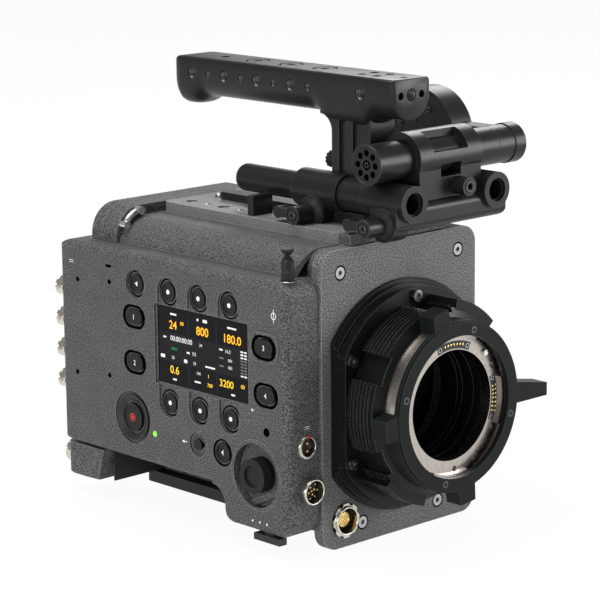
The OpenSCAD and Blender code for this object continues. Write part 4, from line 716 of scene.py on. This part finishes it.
def make_key_lips():
    """Raised lips round the record key and the home key."""
    profile = [(8.6, -1.3), (11.8, -0.05), (11.9, 0.35), (11.4, 0.55), (10.9, 0.4), (8.6, -0.75)]
    record = Shape().lathe(profile, "left", (PANEL_X, *RECORD_KEY), 96)
    record.piece("record_lip", "plastic")
    home = Shape().band(oblong(0, 0, 19.6, 14.6, 7.2), oblong(0, 0, 17.4, 12.4, 6.1), -0.1, 0.4, "left",
                        (PANEL_X, *HOME_KEY))
    home.piece("home_lip", "panel", 0.15)


HOOK = (-67.2, 7.4, 64.5)


def make_hook():
    """Tape hook turned as the photo shows it: wide foot, waist, flared head."""
    profile = [(0.01, 0), (2.9, 0), (3.1, 0.3), (3.1, 4.6), (2.8, 4.9), (3.1, 5.2), (3.1, 9.6), (2.6, 10.2),
               (1.5, 11.6), (1.3, 12.2), (1.5, 12.7), (2.7, 13.6), (2.9, 13.9), (2.9, 15.2), (2.6, 15.5),
               (0.01, 15.5)]
    hook = Shape().lathe(profile, "top", HOOK, 48, closed=False)
    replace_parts(hook.piece("tape_hook_turned", "black"), "tape_hook")


def make_remote_shade_sheet():
    """Dark sheet on the front of the block that carries the remote connector: painted shade under the panel's
    overhang.
    """
    shade_sheet = Shape().block(0, 0, 34.0, 16.6, -0.2, 0.3, "front", (-48.6, 141, -51.4), 0.5)
    shade_sheet.piece("remote_block_shade_sheet", "plastic", 0.1)


def make_hook_washer():
    washer = Shape().ring(3.1, 4.0, -0.1, 0.25, "top", HOOK, 40, 0.1)
    washer.piece("tape_hook_washer", "screw")


# Connectors: the rear face that some stand on, then their middles, the coaxial ones in a column
REAR_Y = panel_high.y / MM - ORIGIN.y
FINDER = (-38.3, 0, -56)
SIDE_PIN = (-61.2, 1.5, -15.4)
LENS_PIN = (-61, 1.5, -36.6)
REMOTE = (-63, REAR_Y, -50)
COAX_X, COAX_TOP, COAX_STEP, COAX_COUNT = -67.2, 38.3, 16.3, 4
COAX = [(COAX_X, REAR_Y, COAX_TOP - COAX_STEP * i) for i in range(COAX_COUNT)]


def power_mark(shape, side, place):
    """Line over three dashes, the sign of direct current."""
    for i in range(3):
        shape.block(-1.2 + 1.2 * i, -0.55, 0.8, 0.3, *PRINT, side, place)
    shape.block(0, 0.45, 3.2, 0.3, *PRINT, side, place)


def make_panel_marks():
    marks = Shape()
    film = (PANEL_X, 10.1, 48.4)
    marks.ring(1.35, 1.75, *PRINT, "left", film, 32, 0.01)
    marks.block(0, 0, 0.35, 6.6, *PRINT, "left", film)
    lock = (PANEL_X, 75.1, -24.3)
    marks.prism([(-1.9, 0), (-0.3, 0.9), (-0.3, -0.9)], *PRINT, "left", lock)
    marks.block(0.7, 0, 2.2, 0.4, *PRINT, "left", lock)
    marks.prism([(-1.2, -0.8), (-1.2, 0.8), (0.6, 0)], *PRINT, "left", (PANEL_X, 25.0, 0.6))
    for y in (26.4, 21.4, 16.4):
        marks.disc(0.55, *PRINT, "left", (PANEL_X, y, -54.0), 20)
    power_mark(marks, "left", (PANEL_X, 160.5, 54.0))
    power_mark(marks, "front", (SIDE_PIN[0], SIDE_PIN[1], -6.0))
    marks.piece("panel_marks", "white", smooth=False, slot="panel_paint")
    lamp = Shape().disc(1.5, -1.4, 0.05, "left", (PANEL_X, 97.8, -24.9), 32, 0.5)
    lamp.piece("access_lamp", "lamp_green")
    screw = Shape().ring(1.0, 1.9, -1.2, -0.15, "left", PANEL_SCREW, 32, 0.25)
    screw.piece("panel_screw", "black")


# Handle: its middle height, half width, top, radius of its top edges, and its front end
GRIP_MID, GRIP_R, GRIP_TOP, GRIP_EDGE, GRIP_FRONT = 146.1, 12.5, 154.0, 2.0, -7.5
GRIP_SIDES = (("left", -GRIP_R), ("right", GRIP_R))

# Sections along the handle: distance behind the front face, how far they shrink, how far they sag
GRIP_STATIONS = [(GRIP_FRONT, 0.7, 0), (-7.2, 0.2, 0), (-6.8, 0, 0), (7, 0, 0), (9, 0, 0.4), (11, 0, 2.0),
                 (13, 0, 4.0), (15, 0, 4.8), (37, 0, 4.8), (39.5, 0, 4.4), (42, 0, 3.3), (44.5, 0, 1.9),
                 (47, 0, 0.7), (49.5, 0, 0.1), (52, 0, 0), (127, 0, 0), (129.5, 0, 0.2), (131.5, 0, 0.9),
                 (133.5, 0, 2.0), (135.5, 0, 3.2), (138, 0, 4.1), (141, 0, 4.4), (144.5, 0, 4.4),
                 (147, 0.3, 4.2), (148.8, 1.0, 3.6), (150, 2.0, 2.8), (150.5, 3.2, 1.6)]

# Holes through its sides, in its front end and wells in its top, the large ones with plugs in them
BIG_HOLE_R, SMALL_HOLE_R = 3.2, 1.9
HOLE_Y, HOLE_STEP = 63, 24.2
FIRST_HOLE_Y = 14.6
BIG_HOLES_Y = [HOLE_Y + HOLE_STEP * i for i in range(4)]
SMALL_HOLES_Y = [HOLE_Y + HOLE_STEP * (i - 0.5) for i in range(4)]
FRONT_HOLES = [(0, BIG_HOLE_R), (-7, SMALL_HOLE_R), (7, SMALL_HOLE_R)]
FRONT_HOLE_DEEP = 8
PLUG_WELL_R, PLUG_WELL_DEEP, WELL_DEEP = 6.3, 0.9, 1.6
PLUG_WELLS = [(0, 50.9), (0, 75.1), (0, 99.3)]
WELLS = [(0, 123.5, 2.6), (0, -2.5, 1.8), (-4.4, 21, 2.3), (4.4, 21, 2.3), (-4.4, 11, 2.3), (4.4, 11, 2.3)]

# Cutters: half the length of one that passes through the handle, and how far the others stand out of it
THROUGH, CLEAR = 30, 5

# Threads: where their turns begin, their depth by their pitch, and the radii of their sleeves
THREAD_TOP = -1.0
THREAD_CUT = 0.6
BIG_THREAD_R, SMALL_THREAD_R = 3.17, 1.89


def thread(shape, side, place, outer, deep, pitch=1.0):
    """Turns of a female thread as a sleeve inside a plain hole."""
    root, crest = outer - 0.05, outer - THREAD_CUT * pitch
    points = [(outer, THREAD_TOP + 0.1)]
    turns = int(deep / pitch)
    for i in range(turns):
        points.append((root, THREAD_TOP - i * pitch))
        points.append((crest, THREAD_TOP - (i + 0.5) * pitch))
    points.append((root, THREAD_TOP - turns * pitch))
    points.append((outer, THREAD_TOP - turns * pitch))
    shape.lathe(points, side, place, 40)


def make_threads():
    sleeves = Shape()
    thread(sleeves, "front", (0, GRIP_FRONT, GRIP_MID), BIG_THREAD_R, 6.0)
    for y in BIG_HOLES_Y + [FIRST_HOLE_Y]:
        for side, x in GRIP_SIDES:
            thread(sleeves, side, (x, y, GRIP_MID), BIG_THREAD_R, 6.0)
    sleeves.piece("handle_threads", "thread")
    small = Shape()
    for y in SMALL_HOLES_Y:
        for side, x in GRIP_SIDES:
            thread(small, side, (x, y, GRIP_MID), SMALL_THREAD_R, 5.4, 0.7)
    small.piece("handle_small_threads", "thread")


def grip_section(inset, drop):
    """Outline of the handle: flat top with rounded edges, round underside that sags by drop."""
    points = []
    for side in (-1, 1):
        for k in range(5):
            x, z = polar(GRIP_EDGE, (180 if side < 0 else 90) - 22.5 * k)
            points.append((side * (GRIP_R - GRIP_EDGE) + x, GRIP_TOP - GRIP_EDGE + z))
    boxy = 2 / (2 + 0.28 * drop)
    for k in range(33):
        a = math.radians(180 * k / 32)
        x = math.copysign(abs(math.cos(a)) ** boxy, math.cos(a))
        points.append((GRIP_R * x, GRIP_MID - (GRIP_R + drop) * math.sin(a) ** boxy))
    shrink = 1 - inset / GRIP_R
    return [(x * shrink, GRIP_MID + (z - GRIP_MID) * shrink) for x, z in points]


def loft(stations, section):
    """Closed skin through sections standing across the y axis."""
    shape = Shape()
    verts = [(x, y, z) for y, *rest in stations for x, z in section(*rest)]
    count = len(verts) // len(stations)
    faces = [tuple(range(count)), tuple(range(len(verts) - 1, len(verts) - count - 1, -1))]
    for j in range(len(stations) - 1):
        for k in range(count):
            a, b = j * count + k, j * count + (k + 1) % count
            faces.append((a, b, b + count, a + count))
    shape.add(verts, faces, Matrix.Translation(ORIGIN * MM) @ Matrix.Scale(MM, 4))
    return shape


def cut_mesh(shape, cutters, name):
    """Mesh of a shape with cutters taken out of it."""
    obj = add_object(name, shape.to_data(name))
    tool = add_object(name + "_cutter", cutters.to_data(name + "_cutter"))
    cut = obj.modifiers.new("cut", "BOOLEAN")
    cut.solver = "EXACT"
    cut.object = tool
    data = bpy.data.meshes.new_from_object(obj.evaluated_get(bpy.context.evaluated_depsgraph_get()))
    for spare in (obj, tool):
        bpy.data.objects.remove(spare)
    return data


def drill(shape, r, low, high, side, place, segs):
    """Plain cylinder that cuts a hole."""
    rim = [(ON_AXIS, low), (r, low), (r, high), (ON_AXIS, high)]
    shape.lathe(rim, side, place, segs, closed=False)


def make_grip():
    """Handle lofted along its length, with its holes and wells cut out."""
    holes = Shape()
    for y in [FIRST_HOLE_Y] + BIG_HOLES_Y:
        drill(holes, BIG_HOLE_R, -THROUGH, THROUGH, "left", (0, y, GRIP_MID), 32)
    for y in SMALL_HOLES_Y:
        drill(holes, SMALL_HOLE_R, -THROUGH, THROUGH, "left", (0, y, GRIP_MID), 32)
    for place in PLUG_WELLS:
        drill(holes, PLUG_WELL_R, -PLUG_WELL_DEEP, CLEAR, "top", (*place, GRIP_TOP), 40)
    for x, y, r in WELLS:
        drill(holes, r, -WELL_DEEP, CLEAR, "top", (x, y, GRIP_TOP), 40)
    for x, r in FRONT_HOLES:
        drill(holes, r, -FRONT_HOLE_DEEP, CLEAR, "front", (x, GRIP_FRONT, GRIP_MID), 32)
    data = cut_mesh(loft(GRIP_STATIONS, grip_section), holes, "handle_grip")
    grip = finish_piece("handle_grip", data, "black", bevel=0.25)
    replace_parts(grip, "handle")


def make_wells():
    # Black discs near the bottom of the wells: painted shade
    floor_shade = Shape()
    for x, y, r in WELLS:
        floor_shade.disc(r - 0.25, -3, -WELL_DEEP + 0.1, "top", (x, y, GRIP_TOP), 40, 0.02)
    floor_shade.piece("handle_well_floor_shade", "painted_shade")
    plugs = Shape()
    for place in PLUG_WELLS:
        plugs.ring(2.2, PLUG_WELL_R - 1.0, -3, -0.1, "top", (*place, GRIP_TOP), 64, 0.25)
    plugs.piece("handle_well_plugs", "black")


# Riser of the handle: height, length and the arc at its back, half width, groove down its left side
RISER_LOW, RISER_HIGH = 104, 137
RISER_FRONT, RISER_BACK, RISER_ARC, ARC_Z = 22, 36.5, 8, 125.6
RISER_X, GROOVE_X = 10, -8.4
GROOVE_FRONT, GROOVE_BACK = 27.2, 31.3


def make_riser():
    back = [(RISER_BACK, RISER_LOW)]
    for degrees in range(0, 91, 10):
        y, z = polar(RISER_ARC, degrees)
        back.append((RISER_BACK + RISER_ARC - y, ARC_Z + z))
    back.append((RISER_BACK + RISER_ARC, RISER_HIGH))
    base = (0, 0, 0)
    riser = Shape().prism([(RISER_FRONT, RISER_LOW), *back, (RISER_FRONT, RISER_HIGH)], GROOVE_X, RISER_X,
                          "right", base)
    riser.prism([(RISER_FRONT, RISER_LOW), (GROOVE_FRONT, RISER_LOW), (GROOVE_FRONT, RISER_HIGH),
                 (RISER_FRONT, RISER_HIGH)], -RISER_X, GROOVE_X, "right", base)
    riser.prism([(GROOVE_BACK, RISER_LOW), *back, (GROOVE_BACK, RISER_HIGH)], -RISER_X, GROOVE_X,
                "right", base)
    riser.block(16.8, (RISER_LOW + RISER_HIGH) / 2, 10.4, RISER_HIGH - RISER_LOW, -8.5, 8.5, "right", base)
    riser.piece("handle_riser", "black", 0.3)


# Lens mount: radii in its throat, the face of the contacts, the face of the lock ring
THROAT_R, THROAT_WALL_R = 27.9, 28.45
CONTACT_Y = -34.3
RING_Y = ring_low.y / MM - ORIGIN.y


def make_throat():
    """Sleeve in the throat with three shallow grooves."""
    sleeve = [(THROAT_WALL_R, -0.3), (THROAT_R, -0.9)]
    for deep in (5.6, 13.0, 16.2):
        sleeve += [(THROAT_R, -deep), (THROAT_R + 0.35, -deep - 0.25), (THROAT_R, -deep - 0.5)]
    sleeve += [(THROAT_R, -27.6), (THROAT_WALL_R, -27.6)]
    rings = Shape().lathe(sleeve, "front", (0, -28.3, 0), 96)
    rings.piece("throat_rings", "throat")


def make_mount_details():
    """Pins and screws of the contact blocks, rims of the ring's screws, painted shade in the gap round each
    of the plate's screws.
    """
    pins = Shape()
    for a in range(76, 101, 4):
        x, z = polar(29.6, a)
        pins.disc(0.55, -0.02, 0.35, "front", (x, CONTACT_Y, z), 16, 0.25)
    for a in range(-15, 12, 4):
        for r in (28.6, 30.6):
            x, z = polar(r, a)
            pins.disc(0.5, -0.02, 0.35, "front", (x, CONTACT_Y, z), 16, 0.25)
    pins.piece("contact_pins", "gold")
    heads = Shape()
    for a in (69.5, 106.5, 17, -21):
        x, z = polar(29.5, a)
        heads.ring(0.7, 1.3, -0.02, 0.22, "front", (x, CONTACT_Y, z), 24)
    heads.piece("contact_screws", "screw")
    rims = Shape()
    for a in range(75, 435, 90):
        x, z = polar(37.4, a)
        rims.ring(1.3, 1.65, -0.1, 0.05, "front", (x, RING_Y, z), 32, 0.03)
    rims.piece("ring_screw_rims", "rim", body="lock_ring")
    # Dark rings round the plate's screws: painted shade
    gap_shade = Shape()
    for x, z in ((-40.3, 65.4), (40.3, 65.4), (-26.2, -59.6), (26.2, -59.6)):
        gap_shade.ring(3.05, 3.75, -0.3, 0.02, "front", (x, 0, z), 40, 0.05)
    gap_shade.piece("plate_screw_gap_shade", "painted_shade")


def shell_profile(outer, wall, front, back, lip=0.5):
    """Turned shell seen from its mouth: rounded lip, groove behind it, thin wall."""
    inner = outer - wall
    return [(inner, back), (outer, back), (outer, front - 2.2 * lip), (outer - 0.25, front - 2 * lip),
            (outer - 0.25, front - 1.4 * lip), (outer, front - 1.2 * lip), (outer, front - lip / 2),
            (outer - lip / 2, front), (inner + lip / 3, front), (inner, front - lip / 3)]


def on_face(side, place, u, v):
    """Place of a point drawn at u, v on a face."""
    return tuple(face_matrix(side, place) @ Vector((u, v, 0)) / MM - ORIGIN)


def pin_field(shape, side, place, rows, r, low, high):
    """Pins of radius r in circles: each row gives the circle's radius, its count and its turn."""
    for radius, count, turn in rows:
        for k in range(count):
            u, v = polar(radius, turn + 360 * k / count)
            shape.disc(r, low, high, side, on_face(side, place, u, v), 12, r * 0.4)


def make_round_shells():
    """Shells of the four round connectors, with a ribbed ring round the finder's."""
    shells = Shape()
    shells.lathe(shell_profile(7.2, 1.0, 2.4, -9.5), "front", FINDER, 64)
    shells.lathe(shell_profile(5.7, 1.3, 1.0, -4.8), "front", SIDE_PIN, 48)
    shells.lathe(shell_profile(6.3, 0.8, 5.0, -4.8, 0.4), "front", LENS_PIN, 48)
    shells.lathe(shell_profile(6.4, 1.0, 5.0, -3.0), "back", REMOTE, 48)
    shells.ring(7.15, 7.8, -9.5, 1.4, "front", FINDER, 64)
    for k in range(8):
        rib = [polar(r, 45 * k + lean)
               for r, lean in ((7.7, -15), (8.6, -13), (8.6, -4), (8.6, 4), (8.6, 13), (7.7, 15))]
        shells.prism(rib, -9.5, 1.3, "front", FINDER)
    round_shells = shells.piece("round_shells", "nickel", 0.12)
    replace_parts(round_shells, "round_connectors")


def make_coax_shells():
    """Shells of the coaxial connectors with two bayonet lugs each, and the plate that they stand on."""
    rear = Shape()
    for place in COAX:
        rear.lathe(shell_profile(5.0, 0.8, 6.0, 0.0, 0.5), "back", place, 48)
        for u in (5.3, -5.3):
            rear.disc(0.9, 2.4, 4.0, "back", on_face("back", place, u, 0), 16, 0.3)
    shells = rear.piece("coax_shells", "nickel", 0.1)
    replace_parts(shells, "coax_connectors")
    middle = (-62.5, REAR_Y, COAX_TOP - COAX_STEP * (COAX_COUNT - 1) / 2)
    plate = Shape().block(0, 0, 16, 64, 0, 0.6, "back", middle, 2.0)
    plate.piece("coax_plate", "body", 0.2)


def make_connector_cores():
    cores = Shape()
    cores.disc(6.1, -9.5, -3.2, "front", FINDER, 48)
    cores.disc(4.3, -4.8, -1.2, "front", SIDE_PIN, 40)
    cores.disc(5.4, -4.8, 0.6, "front", LENS_PIN, 40)
    cores.disc(5.3, -3.0, 1.8, "back", REMOTE, 40)
    for place in COAX:
        cores.disc(4.1, 0, 2.2, "back", place, 32)
    inserts = cores.piece("insert_blocks", "plastic")
    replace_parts(inserts, "connector_inserts")


def make_connector_pins():
    gold = Shape()
    gold.disc(3.9, -3.3, -1.0, "front", (FINDER[0] + 0.4, FINDER[1], FINDER[2]), 40)
    pin_field(gold, "front", FINDER, ((1.1, 6, 0), (2.2, 12, 10), (3.3, 16, 0)), 0.38, -1.2, -0.6)
    pin_field(gold, "front", SIDE_PIN, ((1.9, 2, 90),), 0.75, -1.3, 0.3)
    pin_field(gold, "front", LENS_PIN, ((0.01, 1, 0), (1.9, 4, 20), (3.8, 7, 0)), 0.45, 0.5, 2.4)
    pin_field(gold, "back", REMOTE, ((1.5, 3, 0), (3.4, 5, 0)), 0.4, 1.7, 3.2)
    for place in COAX:
        gold.disc(0.6, 2.1, 4.4, "back", place, 16)
        gold.ring(0.9, 1.3, 2.1, 3.8, "back", place, 24)
    gold.piece("connector_pins", "gold")
    dot = Shape().disc(0.8, 0.6, 1.12, "front", (SIDE_PIN[0], SIDE_PIN[1], SIDE_PIN[2] + 5.0), 20)
    dot.piece("index_dot", "red_mark", slot="red_plastic")


# Clamp levers: place of each one's boss, and the body that its ribs stand on
LEVERS = {"rear": ((39.5, 86.9), "camera_body"), "front": ((-8.7, 86.4), "slide_bracket")}
LEVER_X, RIBS_X = -33.5, -21
RIB_R, RIB_STEP, RIB_RISE = 6.9, 0.75, 0.5
CLAMP_SCREW = (25, -22, 101)


def turned_rim(inner, outer, low, foot, top, edge):
    """Profile of a ring with softened edges, which begin to turn in at foot."""
    return [(inner, low), (outer, low), (outer, foot), (outer - edge, top), (inner + 0.2, top), (inner, foot)]


def make_clamp_details():
    for name, (place, ribs_body) in LEVERS.items():
        lever = "clamp_lever_" + name
        boss = (LEVER_X, *place)
        head = Shape().lathe(turned_rim(1.1, 2.3, -0.4, 0.5, 0.7, 0.3), "left", boss, 32)
        head.piece("lever_screw_" + name, "dark_rim", body=lever)
        rim = Shape().lathe(turned_rim(3.6, 4.55, -0.3, 0.25, 0.5, 0.25), "left", boss, 40)
        rim.piece("lever_rim_" + name, "black", body=lever)
        ribs = Shape()
        for i in range(4):
            out = RIB_R - RIB_STEP * i
            ribs.ring(out - 0.9, out, -0.5, 0.15 + RIB_RISE * i, "left", (RIBS_X, *place), 48, 0.2)
        ribs.piece("clamp_ribs_" + name, "black", 0.1, body=ribs_body)
    cap = Shape()
    cap.lathe([(1.7, -0.3), (3.0, -0.3), (3.0, 0.25), (2.7, 0.5), (1.9, 0.5), (1.7, 0.2)], "front",
              CLAMP_SCREW, 40)
    cap.piece("bracket_screw_ring", "dark_rim", body="clamp_screw")
    # Black hexagon in the screw's socket: painted shade
    socket = Shape().disc(1.6, -0.3, 0.06, "front", CLAMP_SCREW, 6)
    socket.piece("bracket_screw_socket_shade", "painted_shade", body="clamp_screw")


# Cross tube and swing arm: middle of the tube's end and of the arm's disc
TUBE_Z = 114.9
TUBE_END = (-24.6, -2, TUBE_Z)
ARM_X, ARM_Y = 59, 44
ARM_FACE = (ARM_X, ARM_Y, TUBE_Z)


def make_tube_end():
    """Painted shade as flat black discs for the deep round holes and the socket on the end of the cross tube,
    and its rim.
    """
    holes = Shape()
    for k in range(8):
        y, z = polar(5.75, 45 * k)
        holes.disc(1.6, -0.3, 0.03, "left", (TUBE_END[0], TUBE_END[1] + y, TUBE_END[2] + z), 24, 0.01)
    holes.disc(2.3, -0.3, 0.03, "left", TUBE_END, 32, 0.01)
    holes.piece("tube_end_hole_shade", "painted_shade", body="cross_tube")
    rims = Shape().ring(8.5, 9.85, -0.3, 0.4, "left", TUBE_END, 96, 0.3)
    rims.ring(0.8, 1.4, -0.3, 0.15, "left", TUBE_END, 24, 0.05)
    rims.piece("tube_end_rims", "black", body="cross_tube")


def make_arm_details():
    rings = Shape()
    rings.ring(17.6, 19.1, -0.3, 0.5, "left", ARM_FACE, 96, 0.3)
    rings.ring(12.2, 13.0, -0.3, 0.4, "left", ARM_FACE, 96, 0.2)
    rings.disc(5.0, -0.3, 0.6, "left", ARM_FACE, 48, 0.4)
    rings.piece("arm_rings", "black", 0.1, body="swing_arm")
    screws = Shape()
    for first, r in ((20, 9.0), (65, 15.3)):
        for a in range(first, first + 360, 90):
            y, z = polar(r, a)
            screws.ring(0.7, 1.5, -0.2, 0.6, "left", (ARM_X, ARM_Y - y, TUBE_Z + z), 24)
    screws.piece("arm_screws", "dark_rim", body="swing_arm")


def make_side_screen():
    """Small screen on the operator's side with four settings on it."""
    x, y, z = 60.8, 46, 34
    pane = Shape().block(0, 0, 39.4, 23.4, -0.4, -0.25, "right", (x, y, z), 1.0)
    pane.piece("side_screen", "glass", 0.05)
    rows = [("24.00", -10, 5, 4.0), ("800", 9, 5, 4.0), ("180.0", -10, -4, 4.0), ("3200", 9, -4, 4.0)]
    figures("side_screen_numbers", rows, "right", (x - 0.25, y, z), "screen_white")


# Media bay behind its door: the wall that the slots stand on, and the height of each slot
BAY_X, BAY_Y = 52.8, 121
SLOTS_Z = (2, -28)


def make_card_slots():
    """Card slots that show when the media door is open."""
    bay = Shape().block(0, 0, 46, 62, -0.3, 0.8, "right", (BAY_X, BAY_Y, -13), 3)
    bay.piece("card_bay", "plastic", 0.2)
    # The slots' openings are black blocks: painted shade
    slot_shade, pushers = Shape(), Shape()
    for z in SLOTS_Z:
        slot_shade.block(0, 0, 34, 5.5, 0.6, 0.9, "right", (BAY_X, BAY_Y, z), 1.0)
        pushers.block(-19.5, 9, 5, 5, 0.6, 2.2, "right", (BAY_X, BAY_Y, z), 1.2)
    slot_shade.piece("card_slot_shade", "painted_shade", 0.05)
    pushers.piece("card_pushers", "alloy", 0.2)


def screw_head(shape, r, low, high, side, place):
    """Round screw head with a soft rim and a hollow hexagon."""
    rim = [(0.5 * r, low), (r, low), (r, high - 0.3), (r - 0.3, high), (0.58 * r, high),
           (0.5 * r, high - 0.1)]
    shape.lathe(rim, side, place, 32)
    shape.disc(0.52 * r, low, low + 0.3, side, place, 6, 0.05)


# Top plate's face, half the width between its rows, and the places of screws and threads along it
TOP_Z, TOP_ROW_X = 82, 21.7
TOP_SCREWS_Y, TOP_THREADS_Y = (90.4, 114.6), (102.5, 126.7)


def make_top_details():
    heads, sleeves = Shape(), Shape()
    for x in (-TOP_ROW_X, TOP_ROW_X):
        for y in TOP_SCREWS_Y:
            screw_head(heads, 1.95, -1.2, 0.0, "top", (x, y, TOP_Z))
        for y in TOP_THREADS_Y:
            thread(sleeves, "top", (x, y, TOP_Z), BIG_THREAD_R, 4.6)
    screw_head(heads, 2.3, -0.1, 1.5, "top", (-3.3, 126.2, TOP_Z))
    heads.piece("top_screws", "screw")
    sleeves.piece("top_plate_threads", "thread")


# Back and underside: face of the battery plate, floor of its recess, face of the base plate
BATTERY_Y, RECESS_Y = 168.5, 163.5
UNDER_Z = base_low.z / MM - ORIGIN.z


def make_back_details():
    recess = (0, RECESS_Y, 0)
    holder = Shape()
    holder.block(0, -7, 26, 13, -0.2, 2.4, "back", recess, 1.5)
    holder.block(0, -7, 22, 9, 2.0, 3.2, "back", recess, 1.0)
    holder.piece("battery_contact_block", "plastic", 0.2)
    blades = Shape()
    for i in range(5):
        blades.block(-8 + 4 * i, -7, 1.1, 6.4, 3.0, 4.6, "back", recess, 0.3)
    blades.piece("battery_contacts", "gold", 0.08)
    heads = Shape()
    for x, z in ((-35, -34), (20, -36), (-35, 42), (35, 42)):
        screw_head(heads, 2.4, -0.1, 0.9, "back", (x, BATTERY_Y, z))
    for x in (-24, 45):
        for y in (18, 145):
            screw_head(heads, 2.6, -0.1, 0.7, "under", (x, y, UNDER_Z))
    heads.piece("back_screws", "screw")


add_camera()
add_world()
add_floor()
add_lamps()
dress_nodes()
make_display_ground()
make_display_figures()
make_display_marks()
make_key_marks()
make_key_gap_shade()
make_key_lips()
make_hook()
make_remote_shade_sheet()
make_hook_washer()
make_panel_marks()
make_threads()
make_grip()
make_wells()
make_riser()
make_throat()
make_mount_details()
make_round_shells()
make_coax_shells()
make_connector_cores()
make_connector_pins()
make_clamp_details()
make_tube_end()
make_arm_details()
make_side_screen()
make_card_slots()
make_top_details()
make_back_details()

bpy.context.scene.view_settings.view_transform = "Standard"
